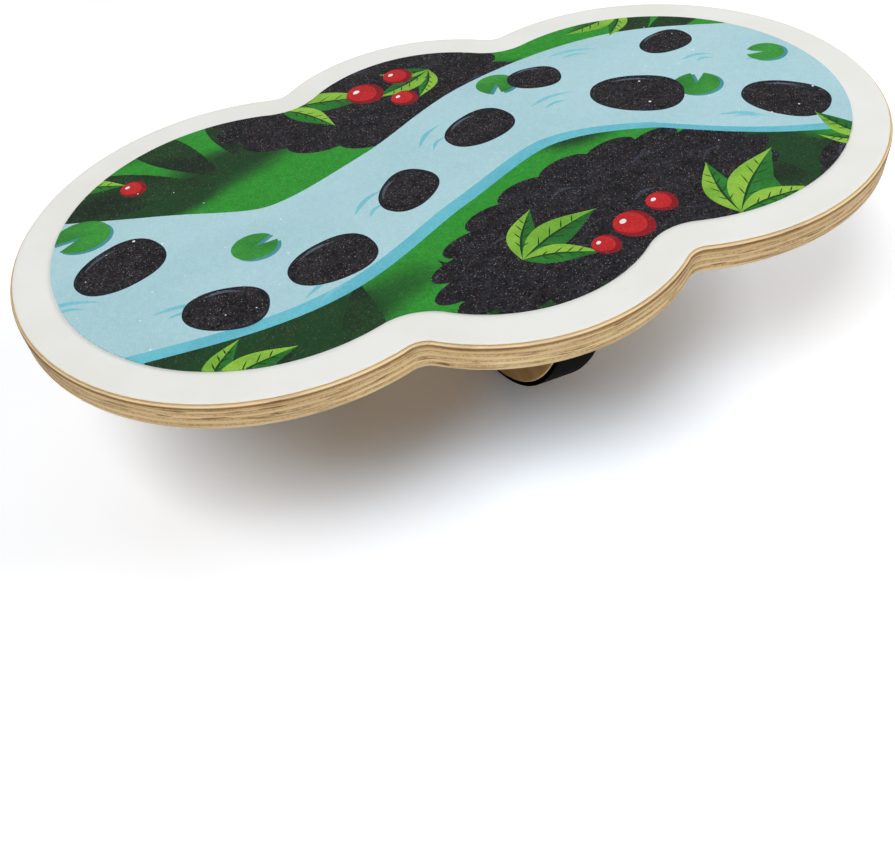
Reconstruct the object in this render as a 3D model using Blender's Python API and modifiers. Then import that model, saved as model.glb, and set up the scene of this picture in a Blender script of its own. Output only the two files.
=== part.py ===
"""Wobble board: a three-lobed plywood deck on two crossed plywood rockers.

The board stands level on the lowest point of its rockers. X runs along the deck,
Y across it, and Z up from the floor. The sizes below are in metres.
"""

import math

import bmesh
import bpy

# Deck outline: two end lobes and a middle lobe, joined by small concave notches
END_LOBE_OFFSET = 0.142
END_LOBE_RADIUS = 0.158
MIDDLE_LOBE_OFFSET = 0.054
MIDDLE_LOBE_RADIUS = 0.128
NOTCH_RADIUS = 0.014

# Deck board
DECK_THICKNESS = 0.018
DECK_ROUNDOVER = 0.002
HOUSING_DEPTH = 0.005

# White face sheet and grit sheet on top of the deck
FACE_SHEET_THICKNESS = 0.0005
GRIP_SHEET_THICKNESS = 0.0012
GRIP_SHEET_BORDER = 0.026

# Rockers: the drop to the floor, and the room left between their ends and what lies beyond
ROCKER_DROP = 0.122
LONG_ROCKER_STOP_CLEARANCE = 0.0235
CROSS_ROCKER_RIM_CLEARANCE = 0.008
ROCKER_THICKNESS = 0.027
ROCKER_ARRIS = 0.001

# Rubber treads on the curved edges
TREAD_THICKNESS = 0.003
TREAD_FACETS = 41

# Rubber end stops under the tips of the deck
END_STOP_THICKNESS = 0.003
END_STOP_WIDTH = 0.015
END_STOP_EDGE_MARGIN = 0.0035
END_STOP_HALF_ANGLE = math.radians(22)
END_STOP_ARRIS = 0.0005

# Countersunk wood screws, driven through the deck into the rockers
SCREW_LENGTH = 0.050
SCREW_SHANK_RADIUS = 0.0024
SCREW_HEAD_RADIUS = 0.0048
SCREW_HEAD_HEIGHT = 0.0034
SCREW_POINT_LENGTH = 0.006
SCREW_COVER = 0.010
SCREW_SIDES = 16

# Clearance between pieces that touch, and how far a cutter runs past what it cuts
FIT_GAP = 0.0003
CUT_MARGIN = 0.001

# Fineness of arcs and rounded edges
ARC_STEP = math.radians(3)
ROUNDOVER_SEGMENTS = 3
SHARP_ANGLE = math.radians(35)
MERGE_DISTANCE = 0.00001

# Half spans of the rockers along the deck's underside
END_STOP_INNER_RADIUS = END_LOBE_RADIUS - END_STOP_EDGE_MARGIN - END_STOP_WIDTH
LONG_ROCKER_HALF_SPAN = END_LOBE_OFFSET + END_STOP_INNER_RADIUS - LONG_ROCKER_STOP_CLEARANCE
CROSS_ROCKER_HALF_SPAN = MIDDLE_LOBE_OFFSET + MIDDLE_LOBE_RADIUS - CROSS_ROCKER_RIM_CLEARANCE

# Heights that follow from the sizes above
DECK_UNDERSIDE = ROCKER_DROP
DECK_TOP = DECK_UNDERSIDE + DECK_THICKNESS
ROCKER_TOP = DECK_UNDERSIDE + HOUSING_DEPTH - FIT_GAP
PLY_APEX = TREAD_THICKNESS + FIT_GAP
LAP_LEVEL = (PLY_APEX + ROCKER_TOP) / 2
TREAD_WIDTH = ROCKER_THICKNESS - 2 * ROCKER_ARRIS
SCREW_TIP_LEVEL = DECK_TOP - SCREW_LENGTH

PLYWOOD_FACE = (0.63, 0.45, 0.24)
PLYWOOD_ROCKER = (0.55, 0.37, 0.18)
WHITE_LAMINATE = (0.83, 0.82, 0.79)
PRINTED_GRIT = (0.10, 0.24, 0.12)
BLACK_RUBBER = (0.012, 0.012, 0.013)
ZINC = (0.62, 0.62, 0.60)


def clear_scene():
    """Remove the objects of whatever scene the script starts in."""
    for item in list(bpy.data.objects):
        bpy.data.objects.remove(item, do_unlink=True)


def make_collection(name):
    """Return a new collection linked to the scene."""
    collection = bpy.data.collections.new(name)
    bpy.context.scene.collection.children.link(collection)
    return collection


def make_material(name, colour, roughness, metallic=0.0):
    """Return a Principled BSDF material of one colour."""
    material = bpy.data.materials.new(name)
    material.use_nodes = True
    shader = material.node_tree.nodes["Principled BSDF"]
    shader.inputs["Base Color"].default_value = (*colour, 1.0)
    shader.inputs["Roughness"].default_value = roughness
    shader.inputs["Metallic"].default_value = metallic
    material.diffuse_color = (*colour, 1.0)
    return material


def arc(centre, radius, start, end, step=ARC_STEP):
    """Return the points of an arc, both ends included."""
    count = max(1, math.ceil(abs(end - start) / step))
    angles = [start + (end - start) * i / count for i in range(count + 1)]
    return [(centre[0] + radius * math.cos(a), centre[1] + radius * math.sin(a)) for a in angles]


def notch_centre():
    """Return the centre of the concave notch between the middle lobe and the right lobe."""
    end_reach = END_LOBE_RADIUS + NOTCH_RADIUS
    middle_reach = MIDDLE_LOBE_RADIUS + NOTCH_RADIUS
    run_x = -END_LOBE_OFFSET
    run_y = MIDDLE_LOBE_OFFSET
    spacing = math.hypot(run_x, run_y)
    along = (end_reach**2 - middle_reach**2 + spacing**2) / (2 * spacing)
    across = math.sqrt(end_reach**2 - along**2)
    return (
        END_LOBE_OFFSET + (along * run_x + across * run_y) / spacing,
        (along * run_y - across * run_x) / spacing,
    )


def lobed_outline(inset):
    """Return the deck's closed outline, moved inward by the inset."""
    end = (END_LOBE_OFFSET, 0.0)
    middle = (0.0, MIDDLE_LOBE_OFFSET)
    notch = notch_centre()
    middle_angle = math.atan2(notch[1] - middle[1], notch[0] - middle[0])
    end_angle = math.atan2(notch[1] - end[1], notch[0] - end[0])
    quarter = arc(middle, MIDDLE_LOBE_RADIUS - inset, math.pi / 2, middle_angle)
    quarter += arc(notch, NOTCH_RADIUS + inset, middle_angle - math.pi, end_angle - math.pi)[1:]
    quarter += arc(end, END_LOBE_RADIUS - inset, end_angle, 0.0)[1:]
    right_half = quarter + [(x, -y) for x, y in reversed(quarter)][1:]
    left_half = [(-x, y) for x, y in reversed(right_half)]
    return right_half + left_half[1:-1]


def tread_radius(half_span):
    """Return the radius of a tread's outer face, which drops to the floor from its span."""
    return (half_span**2 + ROCKER_DROP**2) / (2 * ROCKER_DROP)


def tread_end_angle(half_span):
    """Return the angle where the tread's inner face ends, one gap below the deck."""
    radius = tread_radius(half_span)
    rise = radius - DECK_UNDERSIDE + FIT_GAP
    return math.acos(rise / (radius - TREAD_THICKNESS))


def tread_angles(half_span):
    """Return the facet corners of a whole tread, with one level facet at the bottom."""
    end = tread_end_angle(half_span)
    return [end * (2 * i / TREAD_FACETS - 1) for i in range(TREAD_FACETS + 1)]


def swept_points(half_span, depth, angles):
    """Return facet corners at a depth inside the tread's outer face, along and up."""
    centre_height = tread_radius(half_span)
    facet_half_angle = tread_end_angle(half_span) / TREAD_FACETS
    radius = (centre_height - depth) / math.cos(facet_half_angle)
    return [(radius * math.sin(a), centre_height - radius * math.cos(a)) for a in angles]


def rocker_outline(half_span):
    """Return the outline of a rocker's plywood: a flat top and a curved lower edge."""
    curve = swept_points(half_span, PLY_APEX, tread_angles(half_span))
    return curve + [(curve[-1][0], ROCKER_TOP), (curve[0][0], ROCKER_TOP)]


def rocker_half_length(half_span):
    """Return how far the rocker's plywood reaches from the middle."""
    return rocker_outline(half_span)[-2][0]


def tread_outline(half_span, angles):
    """Return the outline of a tread between its outer and inner faces."""
    outer = swept_points(half_span, 0.0, angles)
    inner = swept_points(half_span, TREAD_THICKNESS, angles)
    return outer + inner[::-1]


def half_tread_angles():
    """Return the facet corners of the cross tread from the side of the long tread outward."""
    inner_radius = tread_radius(CROSS_ROCKER_HALF_SPAN) - TREAD_THICKNESS
    start = math.asin((ROCKER_THICKNESS / 2 + FIT_GAP) / inner_radius)
    return [start] + [a for a in tread_angles(CROSS_ROCKER_HALF_SPAN) if a > start + ARC_STEP / 4]


def end_stop_outline():
    """Return a curved band with round ends that follows the rim of the end lobe."""
    centre = (END_LOBE_OFFSET, 0.0)
    half_width = END_STOP_WIDTH / 2
    middle_radius = END_LOBE_RADIUS - END_STOP_EDGE_MARGIN - half_width
    limit = END_STOP_HALF_ANGLE
    tip_high = (centre[0] + middle_radius * math.cos(limit), middle_radius * math.sin(limit))
    tip_low = (tip_high[0], -tip_high[1])
    cap_step = 6 * ARC_STEP
    points = arc(centre, middle_radius + half_width, -limit, limit)
    points += arc(tip_high, half_width, limit, limit + math.pi, cap_step)[1:]
    points += arc(centre, middle_radius - half_width, limit, -limit)[1:]
    points += arc(tip_low, half_width, math.pi - limit, 2 * math.pi - limit, cap_step)[1:-1]
    return points


def extrude_outline(name, outline, thickness):
    """Return a mesh of a flat outline, its thickness centred on its own plane."""
    curve = bpy.data.curves.new(name + "_outline", "CURVE")
    curve.dimensions = "2D"
    curve.fill_mode = "BOTH"
    curve.extrude = thickness / 2
    spline = curve.splines.new("POLY")
    spline.points.add(len(outline) - 1)
    for point, (x, y) in zip(spline.points, outline):
        point.co = (x, y, 0.0, 1.0)
    spline.use_cyclic_u = True
    guide = bpy.data.objects.new(name + "_outline", curve)
    bpy.context.scene.collection.objects.link(guide)
    graph = bpy.context.evaluated_depsgraph_get()
    mesh = bpy.data.meshes.new_from_object(guide.evaluated_get(graph))
    mesh.name = name
    bpy.data.objects.remove(guide, do_unlink=True)
    weld_mesh(mesh)
    return mesh


def weld_mesh(mesh):
    """Join the coincident corners of a mesh and turn its faces outward."""
    work = bmesh.new()
    work.from_mesh(mesh)
    bmesh.ops.remove_doubles(work, verts=work.verts, dist=MERGE_DISTANCE)
    bmesh.ops.recalc_face_normals(work, faces=work.faces)
    work.to_mesh(mesh)
    work.free()


def place(mesh, name, collection, parent, location=(0, 0, 0), rotation=(0, 0, 0)):
    """Return a new object at a place on the board."""
    item = bpy.data.objects.new(name, mesh)
    collection.objects.link(item)
    item.location = location
    item.rotation_euler = rotation
    item.parent = parent
    return item


def finish(item, material):
    """Dress an object and shade its curved faces smooth."""
    item.data.materials.clear()
    item.data.materials.append(material)
    item.data.shade_smooth()
    item.data.set_sharp_from_angle(angle=SHARP_ANGLE)


def add_bevel(item, width, segments):
    """Round the outer edges of an object."""
    bevel = item.modifiers.new("rounded_edges", "BEVEL")
    bevel.width = width
    bevel.segments = segments
    bevel.limit_method = "ANGLE"
    bevel.angle_limit = SHARP_ANGLE
    bevel.use_clamp_overlap = True


def cut(item, cutters):
    """Take each cutter's volume out of an object."""
    for cutter in cutters:
        boolean = item.modifiers.new(cutter.name, "BOOLEAN")
        boolean.operation = "DIFFERENCE"
        boolean.solver = "EXACT"
        boolean.object = cutter


def hide_cutter(item):
    """Keep a cutter out of the finished model."""
    item.hide_render = True
    item.display_type = "WIRE"


def box_cutter(name, low, high, collection, parent):
    """Return a box cutter between two opposite corners."""
    mesh = bpy.data.meshes.new(name)
    work = bmesh.new()
    bmesh.ops.create_cube(work, size=1.0)
    for vert in work.verts:
        vert.co = [low[i] + (vert.co[i] + 0.5) * (high[i] - low[i]) for i in range(3)]
    work.to_mesh(mesh)
    work.free()
    box = place(mesh, name, collection, parent)
    hide_cutter(box)
    return box


def housing_cutters(collection, parent):
    """Return the cutters of the two crossed grooves that take the rockers' top edges."""
    side = ROCKER_THICKNESS / 2 + FIT_GAP
    bottom = DECK_UNDERSIDE - CUT_MARGIN
    top = DECK_UNDERSIDE + HOUSING_DEPTH
    long_end = rocker_half_length(LONG_ROCKER_HALF_SPAN) + FIT_GAP
    cross_end = rocker_half_length(CROSS_ROCKER_HALF_SPAN) + FIT_GAP
    long_low = (-long_end, -side, bottom)
    cross_low = (-side, -cross_end, bottom)
    return [
        box_cutter("long_housing_cutter", long_low, (long_end, side, top), collection, parent),
        box_cutter("cross_housing_cutter", cross_low, (side, cross_end, top), collection, parent),
    ]


def lap_cutters(collection, parent):
    """Return the cutters of the two halving slots where the rockers cross."""
    side = ROCKER_THICKNESS / 2 + FIT_GAP
    past = ROCKER_THICKNESS / 2 + CUT_MARGIN
    half_gap = FIT_GAP / 2
    above = ROCKER_TOP + CUT_MARGIN
    long_low = (-side, -past, LAP_LEVEL - half_gap)
    cross_low = (-past, -side, -CUT_MARGIN)
    cross_high = (past, side, LAP_LEVEL + half_gap)
    long_lap = box_cutter("long_lap_cutter", long_low, (side, past, above), collection, parent)
    cross_lap = box_cutter("cross_lap_cutter", cross_low, cross_high, collection, parent)
    return long_lap, cross_lap


def turned_mesh(name, profile):
    """Return a turned mesh from a profile given as radius and height, top to bottom."""
    mesh = bpy.data.meshes.new(name)
    work = bmesh.new()
    verts = [work.verts.new((radius, 0.0, height)) for radius, height in profile]
    for upper, lower in zip(verts, verts[1:]):
        work.edges.new((upper, lower))
    bmesh.ops.spin(
        work,
        geom=work.verts[:] + work.edges[:],
        cent=(0, 0, 0),
        axis=(0, 0, 1),
        angle=2 * math.pi,
        steps=SCREW_SIDES,
        use_merge=True,
    )
    work.to_mesh(mesh)
    work.free()
    weld_mesh(mesh)
    return mesh


def screw_profile(gap, above):
    """Return the profile of a countersunk screw below its head, grown by a gap."""
    return [
        (0.0, above),
        (SCREW_HEAD_RADIUS + gap, above),
        (SCREW_HEAD_RADIUS + gap, -gap),
        (SCREW_SHANK_RADIUS + gap, -SCREW_HEAD_HEIGHT - gap),
        (SCREW_SHANK_RADIUS + gap, SCREW_POINT_LENGTH - SCREW_LENGTH - gap),
        (0.0, -SCREW_LENGTH - gap),
    ]


def screw_stations(half_span):
    """Return the distances of a rocker's inner and outer screws from the middle."""
    centre_height = tread_radius(half_span)
    ply_radius = centre_height - PLY_APEX
    ply_edge = SCREW_TIP_LEVEL - SCREW_COVER
    outer = math.sqrt(ply_radius**2 - (centre_height - ply_edge) ** 2)
    inner = (outer + ROCKER_THICKNESS / 2) / 2
    return inner, outer


def screw_places():
    """Return a name and a place for each screw, for the long and for the cross rocker."""
    long_inner, long_outer = screw_stations(LONG_ROCKER_HALF_SPAN)
    cross_inner, cross_outer = screw_stations(CROSS_ROCKER_HALF_SPAN)
    long_places = {
        "long_screw_left_outer": (-long_outer, 0.0, DECK_TOP),
        "long_screw_left_inner": (-long_inner, 0.0, DECK_TOP),
        "long_screw_right_inner": (long_inner, 0.0, DECK_TOP),
        "long_screw_right_outer": (long_outer, 0.0, DECK_TOP),
    }
    cross_places = {
        "cross_screw_front_outer": (0.0, -cross_outer, DECK_TOP),
        "cross_screw_front_inner": (0.0, -cross_inner, DECK_TOP),
        "cross_screw_rear_inner": (0.0, cross_inner, DECK_TOP),
        "cross_screw_rear_outer": (0.0, cross_outer, DECK_TOP),
    }
    return long_places, cross_places


def screw_cutters(places, collection, parent):
    """Return a pilot hole cutter with a countersink for each screw."""
    mesh = turned_mesh("pilot_hole", screw_profile(FIT_GAP, CUT_MARGIN))
    cutters = []
    for name, location in places.items():
        cutter = place(mesh, name + "_hole", collection, parent, location)
        hide_cutter(cutter)
        cutters.append(cutter)
    return cutters


def build_deck(collection, parent, cutters):
    """Build the plywood deck board, rounded on both rims and grooved underneath."""
    mesh = extrude_outline("deck_board", lobed_outline(0.0), DECK_THICKNESS)
    level = (DECK_UNDERSIDE + DECK_TOP) / 2
    deck = place(mesh, "deck_board", collection, parent, (0, 0, level))
    add_bevel(deck, DECK_ROUNDOVER, ROUNDOVER_SEGMENTS)
    cut(deck, cutters)
    finish(deck, make_material("deck_plywood", PLYWOOD_FACE, 0.55))


def build_face_sheet(collection, parent):
    """Build the white sheet that covers the deck's flat top up to its rounded rim."""
    outline = lobed_outline(DECK_ROUNDOVER)
    mesh = extrude_outline("white_face_sheet", outline, FACE_SHEET_THICKNESS)
    level = DECK_TOP + FIT_GAP + FACE_SHEET_THICKNESS / 2
    sheet = place(mesh, "white_face_sheet", collection, parent, (0, 0, level))
    finish(sheet, make_material("white_laminate", WHITE_LAMINATE, 0.4))
    return level + FACE_SHEET_THICKNESS / 2


def build_grip_sheet(collection, parent, face_level):
    """Build the gritty printed sheet, set in from the rim by an even white border."""
    outline = lobed_outline(GRIP_SHEET_BORDER)
    mesh = extrude_outline("grip_sheet", outline, GRIP_SHEET_THICKNESS)
    level = face_level + FIT_GAP + GRIP_SHEET_THICKNESS / 2
    sheet = place(mesh, "grip_sheet", collection, parent, (0, 0, level))
    finish(sheet, make_material("printed_grit", PRINTED_GRIT, 0.85))


def build_rocker(name, half_span, turn, collection, parent, cutters):
    """Build one plywood rocker, stood on edge and turned to its direction."""
    mesh = extrude_outline(name, rocker_outline(half_span), ROCKER_THICKNESS)
    rocker = place(mesh, name, collection, parent, rotation=(math.pi / 2, 0, turn))
    add_bevel(rocker, ROCKER_ARRIS, 1)
    cut(rocker, cutters)
    finish(rocker, make_material(name + "_plywood", PLYWOOD_ROCKER, 0.6))


def build_tread(name, half_span, angles, turn, collection, parent):
    """Build a rubber tread along the curved edge of a rocker."""
    mesh = extrude_outline(name, tread_outline(half_span, angles), TREAD_WIDTH)
    tread = place(mesh, name, collection, parent, rotation=(math.pi / 2, 0, turn))
    finish(tread, make_material(name + "_rubber", BLACK_RUBBER, 0.8))


def build_treads(collection, parent):
    """Build the whole long tread and the two halves of the cross tread beside it."""
    long_angles = tread_angles(LONG_ROCKER_HALF_SPAN)
    half_angles = half_tread_angles()
    front = -math.pi / 2
    rear = math.pi / 2
    cross_span = CROSS_ROCKER_HALF_SPAN
    build_tread("long_tread", LONG_ROCKER_HALF_SPAN, long_angles, 0.0, collection, parent)
    build_tread("cross_tread_front", cross_span, half_angles, front, collection, parent)
    build_tread("cross_tread_rear", cross_span, half_angles, rear, collection, parent)


def build_end_stops(collection, parent):
    """Build the curved rubber stops under both ends of the deck."""
    mesh = extrude_outline("end_stop", end_stop_outline(), END_STOP_THICKNESS)
    level = DECK_UNDERSIDE - FIT_GAP - END_STOP_THICKNESS / 2
    material = make_material("end_stop_rubber", BLACK_RUBBER, 0.75)
    for name, turn in (("end_stop_right", 0.0), ("end_stop_left", math.pi)):
        stop = place(mesh, name, collection, parent, (0, 0, level), (0, 0, turn))
        add_bevel(stop, END_STOP_ARRIS, 1)
        finish(stop, material)


def build_screws(places, collection, parent):
    """Build the countersunk screws, their heads flush with the deck's plywood."""
    mesh = turned_mesh("wood_screw", screw_profile(0.0, 0.0))
    material = make_material("zinc_plated_steel", ZINC, 0.35, 1.0)
    for name, location in places.items():
        finish(place(mesh, name, collection, parent, location), material)


def main():
    """Build the whole board."""
    clear_scene()
    board = make_collection("wobble_board")
    cutters = make_collection("cutters")
    origin = bpy.data.objects.new("board_origin", None)
    board.objects.link(origin)

    long_places, cross_places = screw_places()
    long_holes = screw_cutters(long_places, cutters, origin)
    cross_holes = screw_cutters(cross_places, cutters, origin)
    long_lap, cross_lap = lap_cutters(cutters, origin)
    housings = housing_cutters(cutters, origin)

    build_deck(board, origin, housings + long_holes + cross_holes)
    face_level = build_face_sheet(board, origin)
    build_grip_sheet(board, origin, face_level)
    long_cuts = [long_lap] + long_holes
    cross_cuts = [cross_lap] + cross_holes
    build_rocker("long_rocker", LONG_ROCKER_HALF_SPAN, 0.0, board, origin, long_cuts)
    quarter_turn = math.pi / 2
    build_rocker("cross_rocker", CROSS_ROCKER_HALF_SPAN, quarter_turn, board, origin, cross_cuts)
    build_treads(board, origin)
    build_end_stops(board, origin)
    build_screws(long_places, board, origin)
    build_screws(cross_places, board, origin)


main()
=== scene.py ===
"""Looks of the wobble board: plywood, white facing, printed grit, rubber and studio."""

import logging
import math
from dataclasses import dataclass
from enum import Enum

import bmesh
import bpy
from mathutils import Euler, Matrix, Vector
from mathutils.geometry import delaunay_2d_cdt


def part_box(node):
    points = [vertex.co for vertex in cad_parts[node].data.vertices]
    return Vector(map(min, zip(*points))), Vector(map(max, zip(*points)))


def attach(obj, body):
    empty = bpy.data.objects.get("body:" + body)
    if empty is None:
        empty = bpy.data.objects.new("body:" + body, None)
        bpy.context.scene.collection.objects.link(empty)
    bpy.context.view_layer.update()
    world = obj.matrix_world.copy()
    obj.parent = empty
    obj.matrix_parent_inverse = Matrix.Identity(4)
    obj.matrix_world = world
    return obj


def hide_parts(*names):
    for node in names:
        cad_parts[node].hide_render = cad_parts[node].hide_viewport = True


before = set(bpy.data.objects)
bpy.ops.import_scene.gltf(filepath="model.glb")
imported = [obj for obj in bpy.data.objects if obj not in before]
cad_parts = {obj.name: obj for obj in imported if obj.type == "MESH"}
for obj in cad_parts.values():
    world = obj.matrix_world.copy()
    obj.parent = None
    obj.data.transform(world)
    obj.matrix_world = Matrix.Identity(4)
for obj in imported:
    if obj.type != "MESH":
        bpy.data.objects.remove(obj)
log = logging.getLogger("wobble_board")

Point = tuple[float, float]
Span = tuple[float, float]
Triple = tuple[float, float, float]
Rows = tuple[tuple[float, ...], ...]
Colour = tuple[float, float, float]
Socket = bpy.types.NodeSocket
Outputs = bpy.types.NodeOutputs

MM = 0.001
ROOT = "root"
RUB = "rub"
JOIN_DISTANCE = 0.005 * MM
SHARP_ANGLE = math.radians(32)
NARROWEST_CORNER = 0.3
CUT_PRECISION = 1e-7
SAME_HEIGHT = 1e-9

# Colour sockets of Blender's mix node
MIX_FIRST, MIX_SECOND, MIX_RESULT = 6, 7, 2

# Curve from screen values to linear light
SCREEN_FULL = 255
SCREEN_OFFSET = 0.055
SCREEN_POWER = 2.4
LAST_STRAIGHT = 10
STRAIGHT_SLOPE = 3295


def linear(value: int) -> float:
    """Return a screen value from 0 to 255 as linear light."""
    curved = ((value / SCREEN_FULL + SCREEN_OFFSET) / (1 + SCREEN_OFFSET)) ** SCREEN_POWER
    return curved if value > LAST_STRAIGHT else value / STRAIGHT_SLOPE


def srgb(red: int, green: int, blue: int) -> Colour:
    """Return a colour written as screen values from 0 to 255 as linear light."""
    return linear(red), linear(green), linear(blue)


# Node trees


@dataclass(frozen=True)
class Clouds:
    """Cloudy mask: clouds in a metre along each axis, finer layers, and the range it draws out."""

    scale: Triple
    layers: float
    limits: Span
    share: Span = (0.0, 1.0)


class Bench:
    """Lays out and joins the nodes of one node tree."""

    def __init__(self, tree: bpy.types.NodeTree) -> None:
        """Work on a node tree."""
        self.tree = tree

    def feed(self, socket: Socket, value: object) -> None:
        """Join a socket to another, or set its own value.

        Args:
            socket: The input to feed.
            value: A socket, a number, a vector or a colour.
        """
        if isinstance(value, Socket):
            self.tree.links.new(value, socket)
        else:
            socket.default_value = (*value, 1.0) if socket.type == "RGBA" else value

    def add(self, kind: str, feeds: dict | None = None, **settings: object) -> Outputs:
        """Add a node.

        Args:
            kind: Blender's name for the kind of node.
            feeds: What its inputs are fed, by name or number.
            settings: Properties of the node.

        Returns:
            The node's outputs.
        """
        node = self.tree.nodes.new(kind)
        for name, value in settings.items():
            setattr(node, name, value)
        for name, value in (feeds or {}).items():
            self.feed(node.inputs[name], value)
        return node.outputs

    def math(self, operation: str, *values: object, clamp: bool = False) -> Socket:
        """Return the result of a calculation, kept between 0 and 1 where clamp is set."""
        return self.add("ShaderNodeMath", dict(enumerate(values)), operation=operation, use_clamp=clamp)[0]

    def times(self, value: object, factor: object) -> Socket:
        """Return the product of two numbers."""
        return self.math("MULTIPLY", value, factor)

    def weighted(self, value: object, weight: object, base: object) -> Socket:
        """Return a number times a weight, added to a base."""
        return self.math("MULTIPLY_ADD", value, weight, base)

    def rest(self, share: object) -> Socket:
        """Return what is left of 1 beside a share."""
        return self.math("SUBTRACT", 1.0, share)

    def half_less(self, value: object) -> Socket:
        """Return a number less one half."""
        return self.math("SUBTRACT", value, 0.5)

    def vector(self, operation: str, first: object, second: object) -> Socket:
        """Return the result of a calculation with two vectors."""
        return self.add("ShaderNodeVectorMath", {0: first, 1: second}, operation=operation)[0]

    def axis(self, vector: object, name: str) -> Socket:
        """Return the X, Y or Z part of a vector."""
        return self.add("ShaderNodeSeparateXYZ", {0: vector})[name]

    def noise(self, place: object, scale: float, layers: float) -> Socket:
        """Return a cloudy value, with so many clouds in a metre and so many finer layers."""
        return self.add("ShaderNodeTexNoise", {"Vector": place, "Scale": scale, "Detail": layers})[0]

    def drawn_out(self, place: object, scale: Triple, layers: float) -> Socket:
        """Return a cloudy value with its own number of clouds in a metre along each axis."""
        return self.noise(self.vector("MULTIPLY", place, scale), 1.0, layers)

    def span(self, value: object, low: float, high: float, start: float = 0.0, end: float = 1.0) -> Socket:
        """Return a value moved softly from the range low to high into the range start to end."""
        feeds = dict(enumerate((value, low, high, start, end)))
        return self.add("ShaderNodeMapRange", feeds, interpolation_type="SMOOTHSTEP")[0]

    def clouds(self, place: object, clouds: Clouds) -> Socket:
        """Return a cloudy mask."""
        value = self.drawn_out(place, clouds.scale, clouds.layers)
        return self.span(value, *clouds.limits, *clouds.share)

    def blend(self, share: object, first: object, second: object, mode: str = "MIX") -> Socket:
        """Return two colours mixed, with a share of the second."""
        feeds = {0: share, MIX_FIRST: first, MIX_SECOND: second}
        return self.add("ShaderNodeMix", feeds, data_type="RGBA", blend_type=mode)[MIX_RESULT]

    def place(self) -> Socket:
        """Return the place on the surface in the piece's own frame."""
        return self.add("ShaderNodeTexCoord")["Object"]

    def geometry(self, name: str) -> Socket:
        """Return one of the values that Blender gives for the surface's form."""
        return self.add("ShaderNodeNewGeometry")[name]

    def own_normal(self) -> Socket:
        """Return the surface's normal in the piece's own frame."""
        turn = {"vector_type": "NORMAL", "convert_from": "WORLD", "convert_to": "OBJECT"}
        return self.add("ShaderNodeVectorTransform", {0: self.geometry("Normal")}, **turn)[0]

    def rub(self) -> Socket:
        """Return how near an edge is, from 0 on a flat to 1 on an edge."""
        return self.add("ShaderNodeAttribute", attribute_name=RUB)["Fac"]

    def relief(self, height: object, depth: float, strength: float) -> Socket:
        """Return the normal of a bumpy surface with a depth in metres, of which a share shows."""
        return self.add("ShaderNodeBump", {"Height": height, "Distance": depth, "Strength": strength})[0]

    def effect(self, effect: "Effect", place: Socket, **values: object) -> Outputs:
        """Return what an effect gives at a place, with its further inputs given by name."""
        return self.add("ShaderNodeGroup", {"Place": place, **values}, node_tree=effect.tree())


class SocketKind(Enum):
    """Kinds of sockets that an effect takes or gives."""

    VALUE = "NodeSocketFloat"
    VECTOR = "NodeSocketVector"


class Effect:
    """A surface effect shared by materials: one node group that takes a place and named values."""

    name = "effect"
    takes: tuple[str, ...] = ()
    gives: tuple[str, ...] = ()

    def tree(self) -> bpy.types.NodeTree:
        """Build the node group the first time, and find it later.

        Returns:
            The node group.
        """
        found = bpy.data.node_groups.get(self.name)
        if found:
            return found
        group = bpy.data.node_groups.new(self.name, "ShaderNodeTree")
        sockets = [("Place", "INPUT", SocketKind.VECTOR)]
        sockets += [(name, "INPUT", SocketKind.VALUE) for name in self.takes]
        sockets += [(name, "OUTPUT", SocketKind.VALUE) for name in self.gives]
        for name, way, kind in sockets:
            group.interface.new_socket(name=name, in_out=way, socket_type=kind.value)
        bench = Bench(group)
        bench.add("NodeGroupOutput", self.build(bench, bench.add("NodeGroupInput")))
        return group

    def build(self, bench: Bench, entry: Outputs) -> dict[str, Socket]:
        """Lay out the effect.

        Args:
            bench: Bench of the group's tree.
            entry: Sockets of the group's inputs.

        Returns:
            What each output gives, by name.
        """
        raise NotImplementedError


class VeneerGrain(Effect):
    """Soft figure and fine fibres of a sanded birch veneer, along the first axis."""

    name = "veneer_grain"
    gives = ("Figure", "Fibre")
    sway_scale: float = 3.5
    sway_reach: float = 0.06
    band_scale: Triple = (1.6, 17.0, 17.0)
    rings: float = 9.0
    ring_share: float = 0.25
    line_scale: Triple = (7.0, 190.0, 190.0)
    line_layers: float = 3.0
    line_share: float = 0.4
    cloud_scale: Triple = (5.0, 9.0, 9.0)
    cloud_share: float = 0.35
    threads = Clouds((34.0, 1300.0, 1300.0), 2.0, (0.35, 0.75), (0.0, 0.7))
    pores = Clouds((95.0, 1900.0, 1900.0), 1.0, (0.66, 0.76))

    def build(self, bench: Bench, entry: Outputs) -> dict[str, Socket]:
        """Lay out the grain.

        Args:
            bench: Bench of the group's tree.
            entry: Sockets of the group's inputs.

        Returns:
            Figure and Fibre, both from 0 to 1.
        """
        place = entry["Place"]
        sway = bench.times(bench.noise(place, self.sway_scale, 1.0), self.sway_reach)
        bent = bench.vector("ADD", place, bench.add("ShaderNodeCombineXYZ", {"Y": sway})[0])
        bands = bench.times(bench.drawn_out(bent, self.band_scale, 1.0), self.rings)
        lines = bench.drawn_out(bent, self.line_scale, self.line_layers)
        cloud = bench.times(bench.drawn_out(place, self.cloud_scale, 1.0), self.cloud_share)
        figure = bench.weighted(bench.math("PINGPONG", bands, 1.0), self.ring_share, cloud)
        fibre = bench.math("MAXIMUM", bench.clouds(bent, self.threads), bench.clouds(bent, self.pores))
        return {"Figure": bench.weighted(lines, self.line_share, figure), "Fibre": fibre}


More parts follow.
